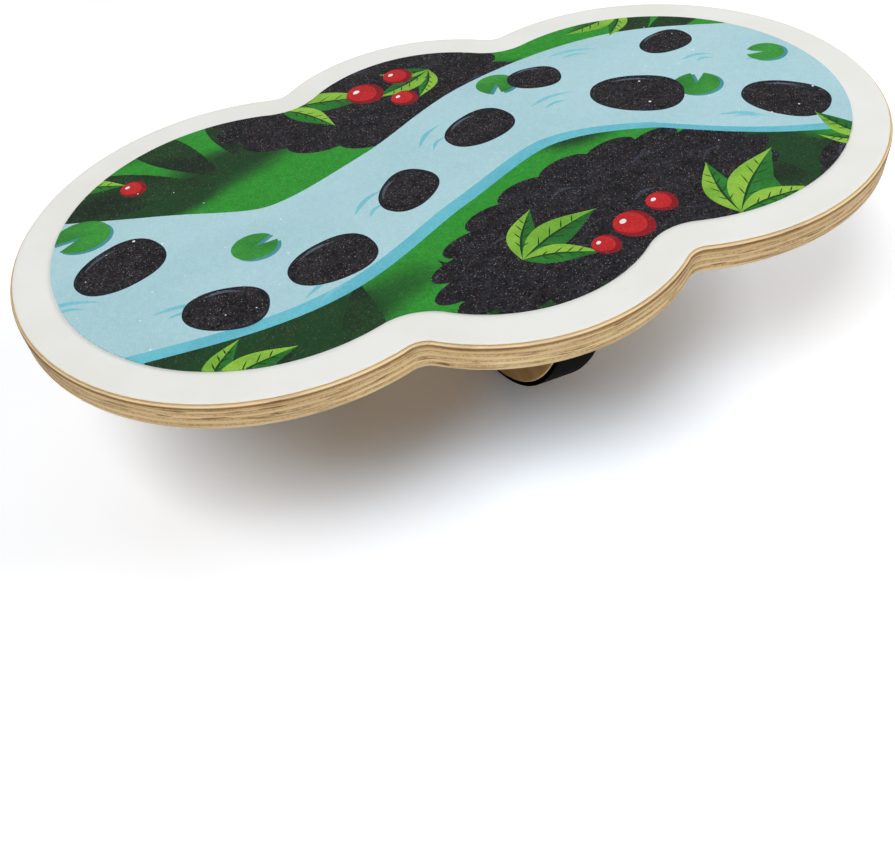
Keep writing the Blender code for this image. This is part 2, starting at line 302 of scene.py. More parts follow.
class PlyStack(Effect):
    """Edge of a plywood board: plies, glue lines, dark streaks and gaps in painted shade, across the third
    axis.
    """

    name = "ply_stack"
    takes = ("Ply",)
    gives = ("Tone", "Glue", "Streak", "Height")
    wave_scale: float = 11.0
    wave_layers: float = 2.0
    wave_reach: float = 0.5
    crosswise: Span = (0.42, 0.58)
    crosswise_share: float = 0.3
    fleck = Clouds((620.0, 620.0, 900.0), 2.0, (0.42, 0.66))
    fleck_share: float = 0.45
    fleck_height: float = 0.25
    drift = Clouds((26.0, 26.0, 520.0), 3.0, (0.36, 0.66), (0.0, 0.34))
    own_share: float = 0.22
    breaks = Clouds((15.0, 15.0, 300.0), 2.0, (0.40, 0.60), (0.2, 1.0))
    seam_strength: tuple[float, ...] = (0.25, 0.8, 0.15, 1.0)
    line: Span = (0.2, 0.03)
    glue_depth: float = 0.5
    streak = Clouds((24.0, 24.0, 430.0), 2.0, (0.59, 0.66))
    streak_share: float = 0.6
    # small gaps, painted dark as their shade
    shaded_gap = Clouds((42.0, 42.0, 760.0), 2.0, (0.635, 0.675))

    def build(self, bench: Bench, entry: Outputs) -> dict[str, Socket]:
        """Lay out the plies, darker and flecked where their grain runs crosswise.

        Args:
            bench: Bench of the group's tree.
            entry: Sockets of the group's inputs.

        Returns:
            Tone of each ply, masks of the glue lines and of the streaks with the gaps' painted shade, and
            the relief.
        """
        place = entry["Place"]
        wave = bench.half_less(bench.noise(place, self.wave_scale, self.wave_layers))
        count = bench.math("DIVIDE", bench.axis(place, "Z"), entry["Ply"])
        level = bench.math("ADD", count, bench.times(wave, self.wave_reach))
        fleck = bench.clouds(place, self.fleck)
        turns = bench.span(bench.math("PINGPONG", bench.half_less(level), 1.0), *self.crosswise)
        crossed = bench.times(turns, bench.weighted(fleck, self.fleck_share, self.crosswise_share))
        lot = self.lot(bench, bench.math("FLOOR", level))
        own = bench.weighted(lot, self.own_share, bench.clouds(place, self.drift))
        glue = bench.times(self.glue_lines(bench, level), bench.clouds(place, self.breaks))
        # the small gaps get the streaks' dark colour as painted shade, and are sunk in the relief
        streak, shaded_gap = bench.clouds(place, self.streak), bench.clouds(place, self.shaded_gap)
        dips = bench.math("ADD", bench.times(glue, self.glue_depth), bench.math("MAXIMUM", streak, shaded_gap))
        return {
            "Tone": bench.math("ADD", own, crossed, clamp=True),
            "Glue": glue,
            "Streak": bench.math("MAXIMUM", bench.times(streak, self.streak_share), shaded_gap),
            "Height": bench.math("SUBTRACT", bench.times(fleck, self.fleck_height), dips),
        }

    def glue_lines(self, bench: Bench, level: Socket) -> Socket:
        """Return a mask of the glue lines between plies, stronger in some seams than in others."""
        strength = bench.span(self.lot(bench, bench.math("ROUND", level)), *self.seam_strength)
        return bench.times(bench.span(bench.math("PINGPONG", level, 0.5), *self.line), strength)

    @staticmethod
    def lot(bench: Bench, number: Socket) -> Socket:
        """Return a random value from 0 to 1 for each whole number."""
        return bench.add("ShaderNodeTexWhiteNoise", {"W": number}, noise_dimensions="1D")["Value"]


class Grit(Effect):
    """Mineral grit under clear lacquer: round grains of mixed tone, and a few marked for a painted glint.
    """

    name = "grit"
    takes = ("Grains",)
    gives = ("Height", "Grain", "Warmth", "Glint")
    dome: Span = (0.55, 0.05)
    lowest_grain: float = 0.35
    rare: Span = (0.86, 0.995)
    glint: Span = (0.5, 0.15)
    drift_scale: float = 230.0
    drift_layers: float = 3.0
    drift_share: float = 1.3

    def build(self, bench: Bench, entry: Outputs) -> dict[str, Socket]:
        """Lay out the grains.

        Args:
            bench: Bench of the group's tree.
            entry: Sockets of the group's inputs, where Grains is their number in a metre.

        Returns:
            The relief, a tone and a warmth for each grain, and a mask of the few grains that the inks
            paint with a glint.
        """
        feeds = {"Vector": entry["Place"], "Scale": entry["Grains"]}
        cells = bench.add("ShaderNodeTexVoronoi", feeds, voronoi_dimensions="2D")
        away = cells["Distance"]
        size, luck, tone = bench.add("ShaderNodeSeparateColor", {0: cells["Color"]})
        tallness = bench.math("ADD", size, self.lowest_grain)
        drift = bench.half_less(bench.noise(entry["Place"], self.drift_scale, self.drift_layers))
        return {
            "Height": bench.times(bench.span(away, *self.dome), tallness),
            "Grain": bench.weighted(drift, self.drift_share, tone),
            "Warmth": size,
            "Glint": bench.times(bench.span(luck, *self.rare), bench.span(away, *self.glint)),
        }


class Handling(Effect):
    """Marks of use: cloudy smudges and thin scuffs."""

    name = "handling_marks"
    gives = ("Smudge", "Scuff")
    smudges = Clouds((16.0, 16.0, 16.0), 4.0, (0.35, 0.75))
    scratches = Clouds((40.0, 330.0, 330.0), 2.0, (0.67, 0.74))
    areas = Clouds((9.0, 9.0, 9.0), 1.0, (0.5, 0.65))

    def build(self, bench: Bench, entry: Outputs) -> dict[str, Socket]:
        """Lay out the marks.

        Args:
            bench: Bench of the group's tree.
            entry: Sockets of the group's inputs.

        Returns:
            Masks of the smudges and the scuffs.
        """
        place = entry["Place"]
        scuff = bench.times(bench.clouds(place, self.scratches), bench.clouds(place, self.areas))
        return {"Smudge": bench.clouds(place, self.smudges), "Scuff": scuff}


class EdgeRub(Effect):
    """Broken line of wear along the edges of a piece."""

    name = "edge_rub"
    takes = ("Edge",)
    gives = ("Worn",)
    break_scale: float = 120.0
    break_layers: float = 4.0
    break_reach: float = 1.1
    worn: Span = (0.75, 1.05)

    def build(self, bench: Bench, entry: Outputs) -> dict[str, Socket]:
        """Lay out the wear.

        Args:
            bench: Bench of the group's tree.
            entry: Sockets of the group's inputs.

        Returns:
            The mask of the worn edge.
        """
        breaks = bench.half_less(bench.noise(entry["Place"], self.break_scale, self.break_layers))
        reach = bench.math("ADD", entry["Edge"], bench.times(breaks, self.break_reach))
        return {"Worn": bench.span(reach, *self.worn)}


# Finishes


def new_material(name: str) -> tuple[bpy.types.Material, Bench, bpy.types.Node]:
    """Start a material.

    Args:
        name: Name of the material.

    Returns:
        The material, its bench, and its shader.
    """
    material = bpy.data.materials.new(name)
    material.use_nodes = True
    return material, Bench(material.node_tree), material.node_tree.nodes["Principled BSDF"]


class Finish:
    """Look of a surface, laid out as one material."""

    name: str

    def material(self) -> bpy.types.Material:
        """Lay out the material.

        Returns:
            The material.
        """
        material, bench, shader = new_material(self.name)
        for name, value in self.surface(bench, bench.place()).items():
            bench.feed(shader.inputs[name], value)
        return material

    def surface(self, bench: Bench, place: Socket) -> dict[str, object]:
        """Lay out the surface.

        Args:
            bench: Bench of the material.
            place: Place on the surface.

        Returns:
            What each input of the shader is fed, by name.
        """
        raise NotImplementedError


@dataclass(frozen=True)
class Plywood(Finish):
    """Varnished birch plywood: veneer on the faces, and plies wherever an edge is cut."""

    name: str
    pale: Colour
    deep: Colour
    edge_pale: Colour
    edge_deep: Colour
    glue: Colour
    # paler colour of the rounded edges: the cut veneer and, partly, a painted highlight
    arris_and_highlight: Colour
    ply: float
    first_ply_line: float
    half_thickness: float
    # colour of the dark streaks, also painted as shade in the small gaps
    streak: Colour = srgb(104, 68, 32)
    streak_share: float = 0.8
    line: Span = (1.2 * MM, 0.2 * MM)
    line_share: float = 0.8
    glue_share: float = 0.62
    figure: Span = (0.3, 0.7)
    fibre_share: float = 0.28
    face_tilt: Span = (0.8, 0.97)
    upper_arris_tilt: Span = (0.5, 0.78)
    lower_arris_tilt: Span = (-0.1, -0.4)
    arris_highlight_share: float = 0.75
    smudge_share: float = 0.12
    roughness: float = 0.45
    smudge_roughness: float = 0.14
    worn_roughness: float = 0.12
    specular: float = 0.35
    fibre_relief: float = 0.35
    relief: Span = (0.12 * MM, 0.7)

    def surface(self, bench: Bench, place: Socket) -> dict[str, object]:
        """Lay out the surface of a piece whose plies are stacked along its own third axis.

        Args:
            bench: Bench of the material.
            place: Place on the surface.

        Returns:
            What each input of the shader is fed, by name.
        """
        edge, height = self.edge(bench, place)
        tilt = bench.axis(bench.own_normal(), "Z")
        on_face = bench.span(bench.math("ABSOLUTE", tilt), *self.face_tilt)
        # rounded edges, found by their tilt, get a paler colour that is partly a painted highlight
        upper = bench.span(tilt, *self.upper_arris_tilt)
        either = bench.math("MAXIMUM", upper, bench.span(tilt, *self.lower_arris_tilt))
        on_arris_highlight = bench.times(either, bench.rest(on_face))
        grain = bench.effect(VeneerGrain(), place)
        colour = bench.blend(on_face, edge, self.face(bench, grain))
        colour = bench.blend(bench.times(on_arris_highlight, self.arris_highlight_share), colour, self.arris_and_highlight)
        smudge = bench.effect(Handling(), place)["Smudge"]
        soiling = bench.times(smudge, self.smudge_share)
        worn = bench.times(bench.effect(EdgeRub(), place, Edge=bench.rub())["Worn"], self.worn_roughness)
        rough = bench.weighted(smudge, self.smudge_roughness, self.roughness)
        fibre = bench.times(grain["Fibre"], self.fibre_relief)
        bumps = bench.math("ADD", bench.times(height, bench.rest(on_face)), fibre)
        return {
            "Base Color": bench.blend(soiling, colour, self.glue, "MULTIPLY"),
            "Roughness": bench.math("ADD", rough, worn, clamp=True),
            "Specular IOR Level": self.specular,
            "Normal": bench.relief(bumps, *self.relief),
        }

    def face(self, bench: Bench, grain: Outputs) -> Socket:
        """Return the colour of the face veneer."""
        base = bench.blend(bench.span(grain["Figure"], *self.figure), self.pale, self.deep)
        return bench.blend(bench.times(grain["Fibre"], self.fibre_share), base, self.glue, "MULTIPLY")

    def edge(self, bench: Bench, place: Socket) -> tuple[Socket, Socket]:
        """Lay out a cut edge, with a brown line where the first ply begins.

        Args:
            bench: Bench of the material.
            place: Place on the surface.

        Returns:
            Its colour and its relief.
        """
        plies = bench.effect(PlyStack(), place, Ply=self.ply)
        colour = bench.blend(plies["Tone"], self.edge_pale, self.edge_deep)
        colour = bench.blend(bench.times(plies["Glue"], self.glue_share), colour, self.glue)
        away = bench.math("SUBTRACT", bench.axis(place, "Z"), self.half_thickness - self.first_ply_line)
        line = bench.span(bench.math("ABSOLUTE", away), *self.line)
        colour = bench.blend(bench.times(line, self.line_share), colour, self.glue)
        # streaks, with painted shade in the small gaps
        dark = bench.times(plies["Streak"], self.streak_share)
        return bench.blend(dark, colour, self.streak), plies["Height"]


@dataclass(frozen=True)
class WhiteFacing(Finish):
    """Smooth white facing with a satin sheen and faint handling marks."""

    name: str = "white_facing"
    white: Colour = srgb(236, 236, 232)
    soiled: Colour = srgb(222, 220, 212)
    edge: Colour = srgb(232, 224, 204)
    smudge_share: float = 0.3
    scuff_share: float = 0.25
    roughness: float = 0.5
    smudge_roughness: float = 0.12
    specular: float = 0.25
    skin_scale: float = 420.0
    skin_layers: float = 3.0
    relief: Span = (0.04 * MM, 0.5)

    def surface(self, bench: Bench, place: Socket) -> dict[str, object]:
        """Lay out the surface.

        Args:
            bench: Bench of the material.
            place: Place on the surface.

        Returns:
            What each input of the shader is fed, by name.
        """
        marks = bench.effect(Handling(), place)
        colour = bench.blend(bench.times(marks["Smudge"], self.smudge_share), self.white, self.soiled)
        colour = bench.blend(bench.times(marks["Scuff"], self.scuff_share), colour, self.soiled)
        worn = bench.effect(EdgeRub(), place, Edge=bench.rub())["Worn"]
        skin = bench.noise(place, self.skin_scale, self.skin_layers)
        return {
            "Base Color": bench.blend(worn, colour, self.edge),
            "Roughness": bench.weighted(marks["Smudge"], self.smudge_roughness, self.roughness),
            "Specular IOR Level": self.specular,
            "Normal": bench.relief(skin, *self.relief),
        }


@dataclass(frozen=True)
class PrintedGrit(Finish):
    """One ink of the print, on lacquered grit, with a painted glint on a few grains."""

    name: str
    ink: Colour
    wash: Colour
    grains: float = 0.16
    glint: float = 0.25
    patch: float = 22.0
    patch_layers: float = 2.0
    patch_edges: Span = (0.35, 0.7)
    patch_stretch: Triple = (1.0, 1.7, 1.0)
    # warm and cool colours of the painted glint
    warm: Colour = srgb(128, 88, 76)
    cool: Colour = srgb(136, 144, 158)
    warmth: Span = (0.45, 0.75)
    grains_in_metre: float = 1100.0
    roughness: float = 0.8
    glint_smoothing: float = 0.4
    specular: float = 0.22
    relief: Span = (0.25 * MM, 0.5)

    def surface(self, bench: Bench, place: Socket) -> dict[str, object]:
        """Lay out the surface.

        Args:
            bench: Bench of the material.
            place: Place on the surface.

        Returns:
            What each input of the shader is fed, by name.
        """
        grit = bench.effect(Grit(), place, Grains=self.grains_in_metre)
        stretched = bench.vector("MULTIPLY", place, self.patch_stretch)
        cloud = bench.noise(stretched, self.patch, self.patch_layers)
        colour = bench.blend(bench.span(cloud, *self.patch_edges), self.ink, self.wash)
        light = bench.weighted(bench.half_less(grit["Grain"]), 2 * self.grains, 1.0)
        lit = bench.add("ShaderNodeVectorMath", {0: colour, "Scale": light}, operation="SCALE")[0]
        # painted glint: a brighter colour, from warm to cool, screened onto a few grains, which are also
        # made smoother
        mineral = bench.blend(bench.span(grit["Warmth"], *self.warmth), self.warm, self.cool)
        smoother = bench.times(grit["Glint"], self.glint_smoothing)
        return {
            "Base Color": bench.blend(bench.times(grit["Glint"], self.glint), lit, mineral, "SCREEN"),
            "Roughness": bench.math("SUBTRACT", self.roughness, smoother),
            "Specular IOR Level": self.specular,
            "Normal": bench.relief(grit["Height"], *self.relief),
        }


@dataclass(frozen=True)
class Rubber(Finish):
    """Dull black rubber with a moulded skin, dusty where it meets the floor."""

    name: str
    black: Colour = srgb(7, 7, 8)
    dusty: Colour = srgb(42, 40, 38)
    dust: float = 0.09
    roughness: float = 0.72
    smudge_roughness: float = 0.15
    specular: float = 0.06
    bumps_in_metre: float = 1500.0
    relief: Span = (0.12 * MM, 0.5)

    def surface(self, bench: Bench, place: Socket) -> dict[str, object]:
        """Lay out the surface.

        Args:
            bench: Bench of the material.
            place: Place on the surface.

        Returns:
            What each input of the shader is fed, by name.
        """
        smudge = bench.effect(Handling(), place)["Smudge"]
        worn = bench.effect(EdgeRub(), place, Edge=bench.rub())["Worn"]
        grey = bench.times(bench.math("ADD", smudge, worn, clamp=True), self.dust)
        skin = bench.effect(Grit(), place, Grains=self.bumps_in_metre)["Height"]
        return {
            "Base Color": bench.blend(grey, self.black, self.dusty),
            "Roughness": bench.weighted(smudge, self.smudge_roughness, self.roughness),
            "Specular IOR Level": self.specular,
            "Normal": bench.relief(skin, *self.relief),
        }


@dataclass(frozen=True)
class ZincPlate(Finish):
    """Bright zinc plating, dulled in patches."""

    name: str = "zinc_plate"
    bright: Colour = srgb(205, 205, 202)
    dull: Colour = srgb(150, 149, 144)
    patch_scale: Triple = (9.0, 9.0, 9.0)
    roughness: float = 0.25
    dull_roughness: float = 0.25

    def surface(self, bench: Bench, place: Socket) -> dict[str, object]:
        """Lay out the surface.

        Args:
            bench: Bench of the material.
            place: Place on the surface.

        Returns:
            What each input of the shader is fed, by name.
        """
        patch = bench.effect(Handling(), bench.vector("MULTIPLY", place, self.patch_scale))["Smudge"]
        return {
            "Base Color": bench.blend(patch, self.bright, self.dull),
            "Roughness": bench.weighted(patch, self.dull_roughness, self.roughness),
            "Metallic": 1.0,
        }


# Outlines


def arc(centre: Point, radius: float, start: float, end: float, step: float) -> list[Point]:
    """Follow an arc.

    Args:
        centre: Centre of the arc.
        radius: Its radius.
        start: Angle of its first point.
        end: Angle of its last point.
        step: Largest angle between points.

    Returns:
        The points, both ends included.
    """
    count = max(1, math.ceil(abs(end - start) / step))
    turns = [start + (end - start) * i / count for i in range(count + 1)]
    return [(centre[0] + radius * math.cos(t), centre[1] + radius * math.sin(t)) for t in turns]


def moved_in(outline: list[Point], distance: float) -> list[Point]:
    """Move a closed outline inward, for an outline that runs clockwise.

    Args:
        outline: Corners of the outline.
        distance: How far each side moves inward.

    Returns:
        The corners of the smaller outline.
    """
    if not distance:
        return list(outline)
    result = []
    for before, here, after in zip(outline[-1:] + outline[:-1], outline, outline[1:] + outline[:1]):
        back = Vector(here) - Vector(before)
        ahead = Vector(after) - Vector(here)
        first = Vector((back.y, -back.x)).normalized()
        second = Vector((ahead.y, -ahead.x)).normalized()
        middle = (first + second).normalized()
        reach = distance / max(NARROWEST_CORNER, middle.dot(first))
        result.append((here[0] + middle.x * reach, here[1] + middle.y * reach))
    return result


def clockwise(outline: list[Point]) -> list[Point]:
    """Return an outline so that it runs clockwise."""
    area = sum(a[0] * b[1] - b[0] * a[1] for a, b in zip(outline, outline[1:] + outline[:1]))
    return outline[::-1] if area > 0 else list(outline)


@dataclass(frozen=True)
class LobedOutline:
    """Outline of three lobes in a row, joined by small concave notches."""

    end_offset: float = 0.142
    end_radius: float = 0.158
    middle_offset: float = 0.054
    middle_radius: float = 0.128
    notch_radius: float = 0.014
    step: float = math.radians(1.2)

    def notch(self) -> Point:
        """Find the notch right of the middle lobe, which touches both lobes from outside.

        Returns:
            The centre of the notch.
        """
        reach_end = self.end_radius + self.notch_radius
        reach_middle = self.middle_radius + self.notch_radius
        spacing = math.hypot(self.end_offset, self.middle_offset)
        along = (reach_end**2 - reach_middle**2 + spacing**2) / (2 * spacing)
        across = math.sqrt(reach_end**2 - along**2)
        run_x, run_y = -self.end_offset / spacing, self.middle_offset / spacing
        return self.end_offset + along * run_x + across * run_y, along * run_y - across * run_x

    def points(self, inset: float = 0.0) -> list[Point]:
        """Follow the closed outline clockwise.

        Args:
            inset: How far it is moved inward.

        Returns:
            Its points.
        """
        notch = self.notch()
        middle_angle = math.atan2(notch[1] - self.middle_offset, notch[0])
        end_angle = math.atan2(notch[1], notch[0] - self.end_offset)
        bow = (middle_angle - math.pi, end_angle - math.pi, 3 * self.step)
        quarter = arc((0, self.middle_offset), self.middle_radius, math.pi / 2, middle_angle, self.step)
        quarter += arc(notch, self.notch_radius, *bow)[1:]
        quarter += arc((self.end_offset, 0), self.end_radius, end_angle, 0.0, self.step)[1:]
        right = quarter + [(x, -y) for x, y in reversed(quarter)][1:]
        left = [(-x, y) for x, y in reversed(right)]
        return moved_in(clockwise(right + left[1:-1]), inset)


OUTLINE = LobedOutline()


# Meshes


@dataclass(frozen=True)
class Ring:
    """One turn of an outline round a slab: how far in, at what height, and how near an edge."""

    inset: float
    height: float
    rub: float = 0.0


@dataclass(frozen=True)
class RoundedEdge:
    """Rounded edge of a slab: its radius, its number of steps, and the width over which wear fades."""

    radius: float
    segments: int
    rub_width: float

    def rings(self, low: float, high: float) -> list[Ring]:
        """Plan the rings of a slab with this edge above and below.

        Args:
            low: Height of its lower face.
            high: Height of its upper face.

        Returns:
            The rings from the lower face to the upper face.
        """
        radius = self.radius
        quarter = [math.pi / 2 * i / self.segments for i in range(self.segments + 1)]
        lower = [Ring(radius * (1 - math.sin(t)), low + radius * (1 - math.cos(t)), 1.0) for t in quarter]
        upper = [Ring(r.inset, high + low - r.height, 1.0) for r in reversed(lower)]
        face = Ring(radius + self.rub_width, low)
        side_low = low + radius + self.rub_width
        side_high = high - radius - self.rub_width
        sides = [Ring(0.0, side_low), Ring(0.0, side_high)] if side_high > side_low else []
        return [face] + lower + sides + upper + [Ring(face.inset, high)]


def mesh_from(work: bmesh.types.BMesh, name: str) -> bpy.types.Mesh:
    """Finish a mesh: join its seams, face it outward and shade it smooth.

    Args:
        work: The mesh being made.
        name: Name of the mesh.

    Returns:
        The finished mesh.
    """
    bmesh.ops.remove_doubles(work, verts=work.verts, dist=JOIN_DISTANCE)
    bmesh.ops.recalc_face_normals(work, faces=work.faces)
    mesh = bpy.data.meshes.new(name)
    work.to_mesh(mesh)
    work.free()
    mesh.shade_smooth()
    mesh.set_sharp_from_angle(angle=SHARP_ANGLE)
    return mesh


def join_turns(work: bmesh.types.BMesh, lower: list, upper: list) -> None:
    """Add the faces between two closed turns of corners."""
    for i, corner in enumerate(lower):
        work.faces.new((lower[i - 1], corner, upper[i], upper[i - 1]))


def add_walls(work: bmesh.types.BMesh, outline: list[Point], rings: list[Ring]) -> list[list]:
    """Add the walls between rings.

    Args:
        work: The mesh being made.
        outline: The outline that every ring follows.
        rings: The rings, in order.

    Returns:
        The corners of each ring.
    """
    rub = work.verts.layers.float.get(RUB) or work.verts.layers.float.new(RUB)
    turns = []
    for ring in rings:
        corners = [work.verts.new((x, y, ring.height)) for x, y in moved_in(outline, ring.inset)]
        for corner in corners:
            corner[rub] = ring.rub
        turns.append(corners)
    for lower, upper in zip(turns, turns[1:]):
        join_turns(work, lower, upper)
    return turns


def slab(name: str, outline: list[Point], rings: list[Ring]) -> bpy.types.Mesh:
    """Build a solid slab with a worn-edge attribute.

    Args:
        name: Name of the mesh.
        outline: Its outline.
        rings: Its rings, from its lower face to its upper face.

    Returns:
        The mesh.
    """
    work = bmesh.new()
    turns = add_walls(work, clockwise(outline), rings)
    work.faces.new(turns[0])
    work.faces.new(turns[-1])
    return mesh_from(work, name)


@dataclass(frozen=True)
class Region:
    """One closed shape in a plane."""

    name: str
    outline: list[Point]
    within: str = ""


def cut_plane(regions: list[Region]) -> tuple[list[Vector], list[tuple[int, ...]], list[set[str]]]:
    """Cut a plane into triangles along every outline.

    Args:
        regions: The shapes, which may cross each other.

    Returns:
        The corners, the triangles, and the names of the shapes that hold each triangle.
    """
    corners: list[Vector] = []
    shapes: list[list[int]] = []
    for region in regions:
        first = len(corners)
        corners += [Vector(p) for p in reversed(clockwise(region.outline))]
        shapes.append(list(range(first, len(corners))))
    points, _, faces, _, _, origins = delaunay_2d_cdt(corners, [], shapes, 1, CUT_PRECISION, True)
    holders = [{regions[i].name for i in origin} for origin in origins]
    return points, [tuple(f) for f in faces], holders


def add_piece(
    mesh: bpy.types.Mesh, material: bpy.types.Material, stands_for: str, world: Matrix
) -> None:
    """Hang a mesh on the board in place of a plain solid.

    Args:
        mesh: The mesh.
        material: Its material, where it has none yet.
        stands_for: The solid that the piece stands for.
        world: Where the piece goes.
    """
    piece = bpy.data.objects.new(mesh.name, mesh)
    bpy.context.scene.collection.objects.link(piece)
    piece.matrix_world = world
    if not mesh.materials:
        mesh.materials.append(material)
    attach(piece, ROOT)
    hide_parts(stands_for)
    log.info("%s: %d faces, for %s", piece.name, len(mesh.polygons), stands_for)


def upright(turn: float) -> Matrix:
    """Return the frame of a piece that stands on edge, turned about the vertical."""
    return Matrix.Rotation(turn, 4, "Z") @ Matrix.Rotation(math.pi / 2, 4, "X")


def heights(node: str) -> Span:
    """Return the lowest and the highest point of a solid of the frame."""
    low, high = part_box(node)
    return low.z, high.z


# Print


def in_metres(points: list[Point]) -> list[Point]:
    """Return points drawn in millimetres as points in metres."""
    return [(x * MM, y * MM) for x, y in points]


def leaf_spread(share: float) -> float:
    """Return a leaf's width at a share of its length, widest a little before its middle."""
    shoulder = 0.8
    return math.sin(math.pi * share**shoulder)


@dataclass(frozen=True)
class Stencil:
    """Draws shapes from a turned place on the board, in millimetres and degrees."""

    x: float
    y: float
    turn: float = 0.0

    def at(self, across: float, up: float) -> Point:
        """Return the place that lies across and up from the stencil's own."""
        cos, sin = math.cos(math.radians(self.turn)), math.sin(math.radians(self.turn))
        return self.x + across * cos - up * sin, self.y + across * sin + up * cos

    def oval(self, width: float, height: float, fullness: float = 2.0) -> list[Point]:
        """Draw an oval or a full-cornered pebble, a little higher at one end.

        Args:
            width: Its width.
            height: Its height.
            fullness: 2 for an ellipse, more for a squarer pebble.

        Returns:
            The outline in metres.
        """
        steps, swell = 64, 0.12
        points = []
        for i in range(steps):
            cos, sin = math.cos(math.tau * i / steps), math.sin(math.tau * i / steps)
            across = math.copysign(abs(cos) ** (2 / fullness), cos) * width / 2
            up = math.copysign(abs(sin) ** (2 / fullness), sin) * height / 2
            points.append(self.at(across, up * (1 + swell * cos)))
        return in_metres(points)

    def leaf(self, length: float, width: float, bend: float = 0.0) -> list[Point]:
        """Draw a pointed leaf from its stalk.

        Args:
            length: Its length.
            width: Its greatest width.
            bend: How far its middle bows sideways.

        Returns:
            The outline in metres.
        """
        count, sharpness = 24, 1.15
        steps = [i / count for i in range(count + 1)]
        spread = [leaf_spread(t) ** sharpness * width / 2 for t in steps]
        bow = [math.sin(math.pi * t) * bend for t in steps]
        upper = [self.at(t * length, b + s) for t, b, s in zip(steps, bow, spread)]
        lower = [self.at(t * length, b - s) for t, b, s in zip(steps, bow, spread)]
        return in_metres(upper + lower[-2:0:-1])

    def shrub(self, width: float, height: float, bumps: int) -> list[Point]:
        """Draw a bush with a scalloped edge.

        Args:
            width: Its width.
            height: Its height.
            bumps: Number of scallops.

        Returns:
            The outline in metres.
        """
        core, scallop, roundness, lean, steps = 0.9, 0.1, 0.7, 0.03, 12 * bumps
        points = []
        for i in range(steps):
            t = math.tau * i / steps
            reach = core + scallop * abs(math.sin(bumps * t / 2)) ** roundness
            reach += lean * math.sin(3 * t + self.x)
            points.append(self.at(reach * math.cos(t) * width / 2, reach * math.sin(t) * height / 2))
        return in_metres(points)

    def lily_pad(self, size: float) -> list[Point]:
        """Draw a round floating leaf with a notch on the side that the stencil is turned to.

        Args:
            size: Its width.

        Returns:
            The outline in metres.
        """
        half_notch, step, flatness = 16, math.radians(7), 0.86
        start, round_it = math.radians(self.turn + half_notch), math.radians(360 - 2 * half_notch)
        rim = arc((self.x, self.y), size / 2, start, start + round_it, step)
        return in_metres([(self.x, self.y)] + [(u, (v - self.y) * flatness + self.y) for u, v in rim])


def between(before: float, start: float, end: float, after: float, t: float) -> float:
    """Find a value on the smooth curve through four values.

    Args:
        before: Value before the start.
        start: Value where t is 0.
        end: Value where t is 1.
        after: Value after the end.
        t: Share of the way from start to end.

    Returns:
        The value.
    """
    bend = 2 * before - 5 * start + 4 * end - after
    twist = 3 * start - before - 3 * end + after
    return 0.5 * (2 * start + (end - before) * t + bend * t**2 + twist * t**3)


def ribbon(route: Rows, shift: Point = (0.0, 0.0), trim: float = 0.0) -> list[Point]:
    """Draw a winding ribbon.

    Args:
        route: Places and widths along the ribbon, in millimetres.
        shift: How far the whole ribbon is moved.
        trim: How much narrower it is.

    Returns:
        The outline in metres.
    """
    steps = 14
    ends = (route[0], *route, route[-1])
    line = []
    for four in zip(ends, ends[1:], ends[2:], ends[3:]):
        line += [tuple(between(*values, i / steps) for values in zip(*four)) for i in range(steps)]
    line.append(route[-1])
    left, right = [], []
    for before, here, after in zip([line[0]] + line[:-1], line, line[1:] + [line[-1]]):
        run = Vector((after[0] - before[0], after[1] - before[1])).normalized()
        reach = (here[2] - trim) / 2
        x, y = here[0] + shift[0], here[1] + shift[1]
        left.append((x - run.y * reach, y + run.x * reach))
        right.append((x + run.y * reach, y - run.x * reach))
    return in_metres(left + right[::-1])


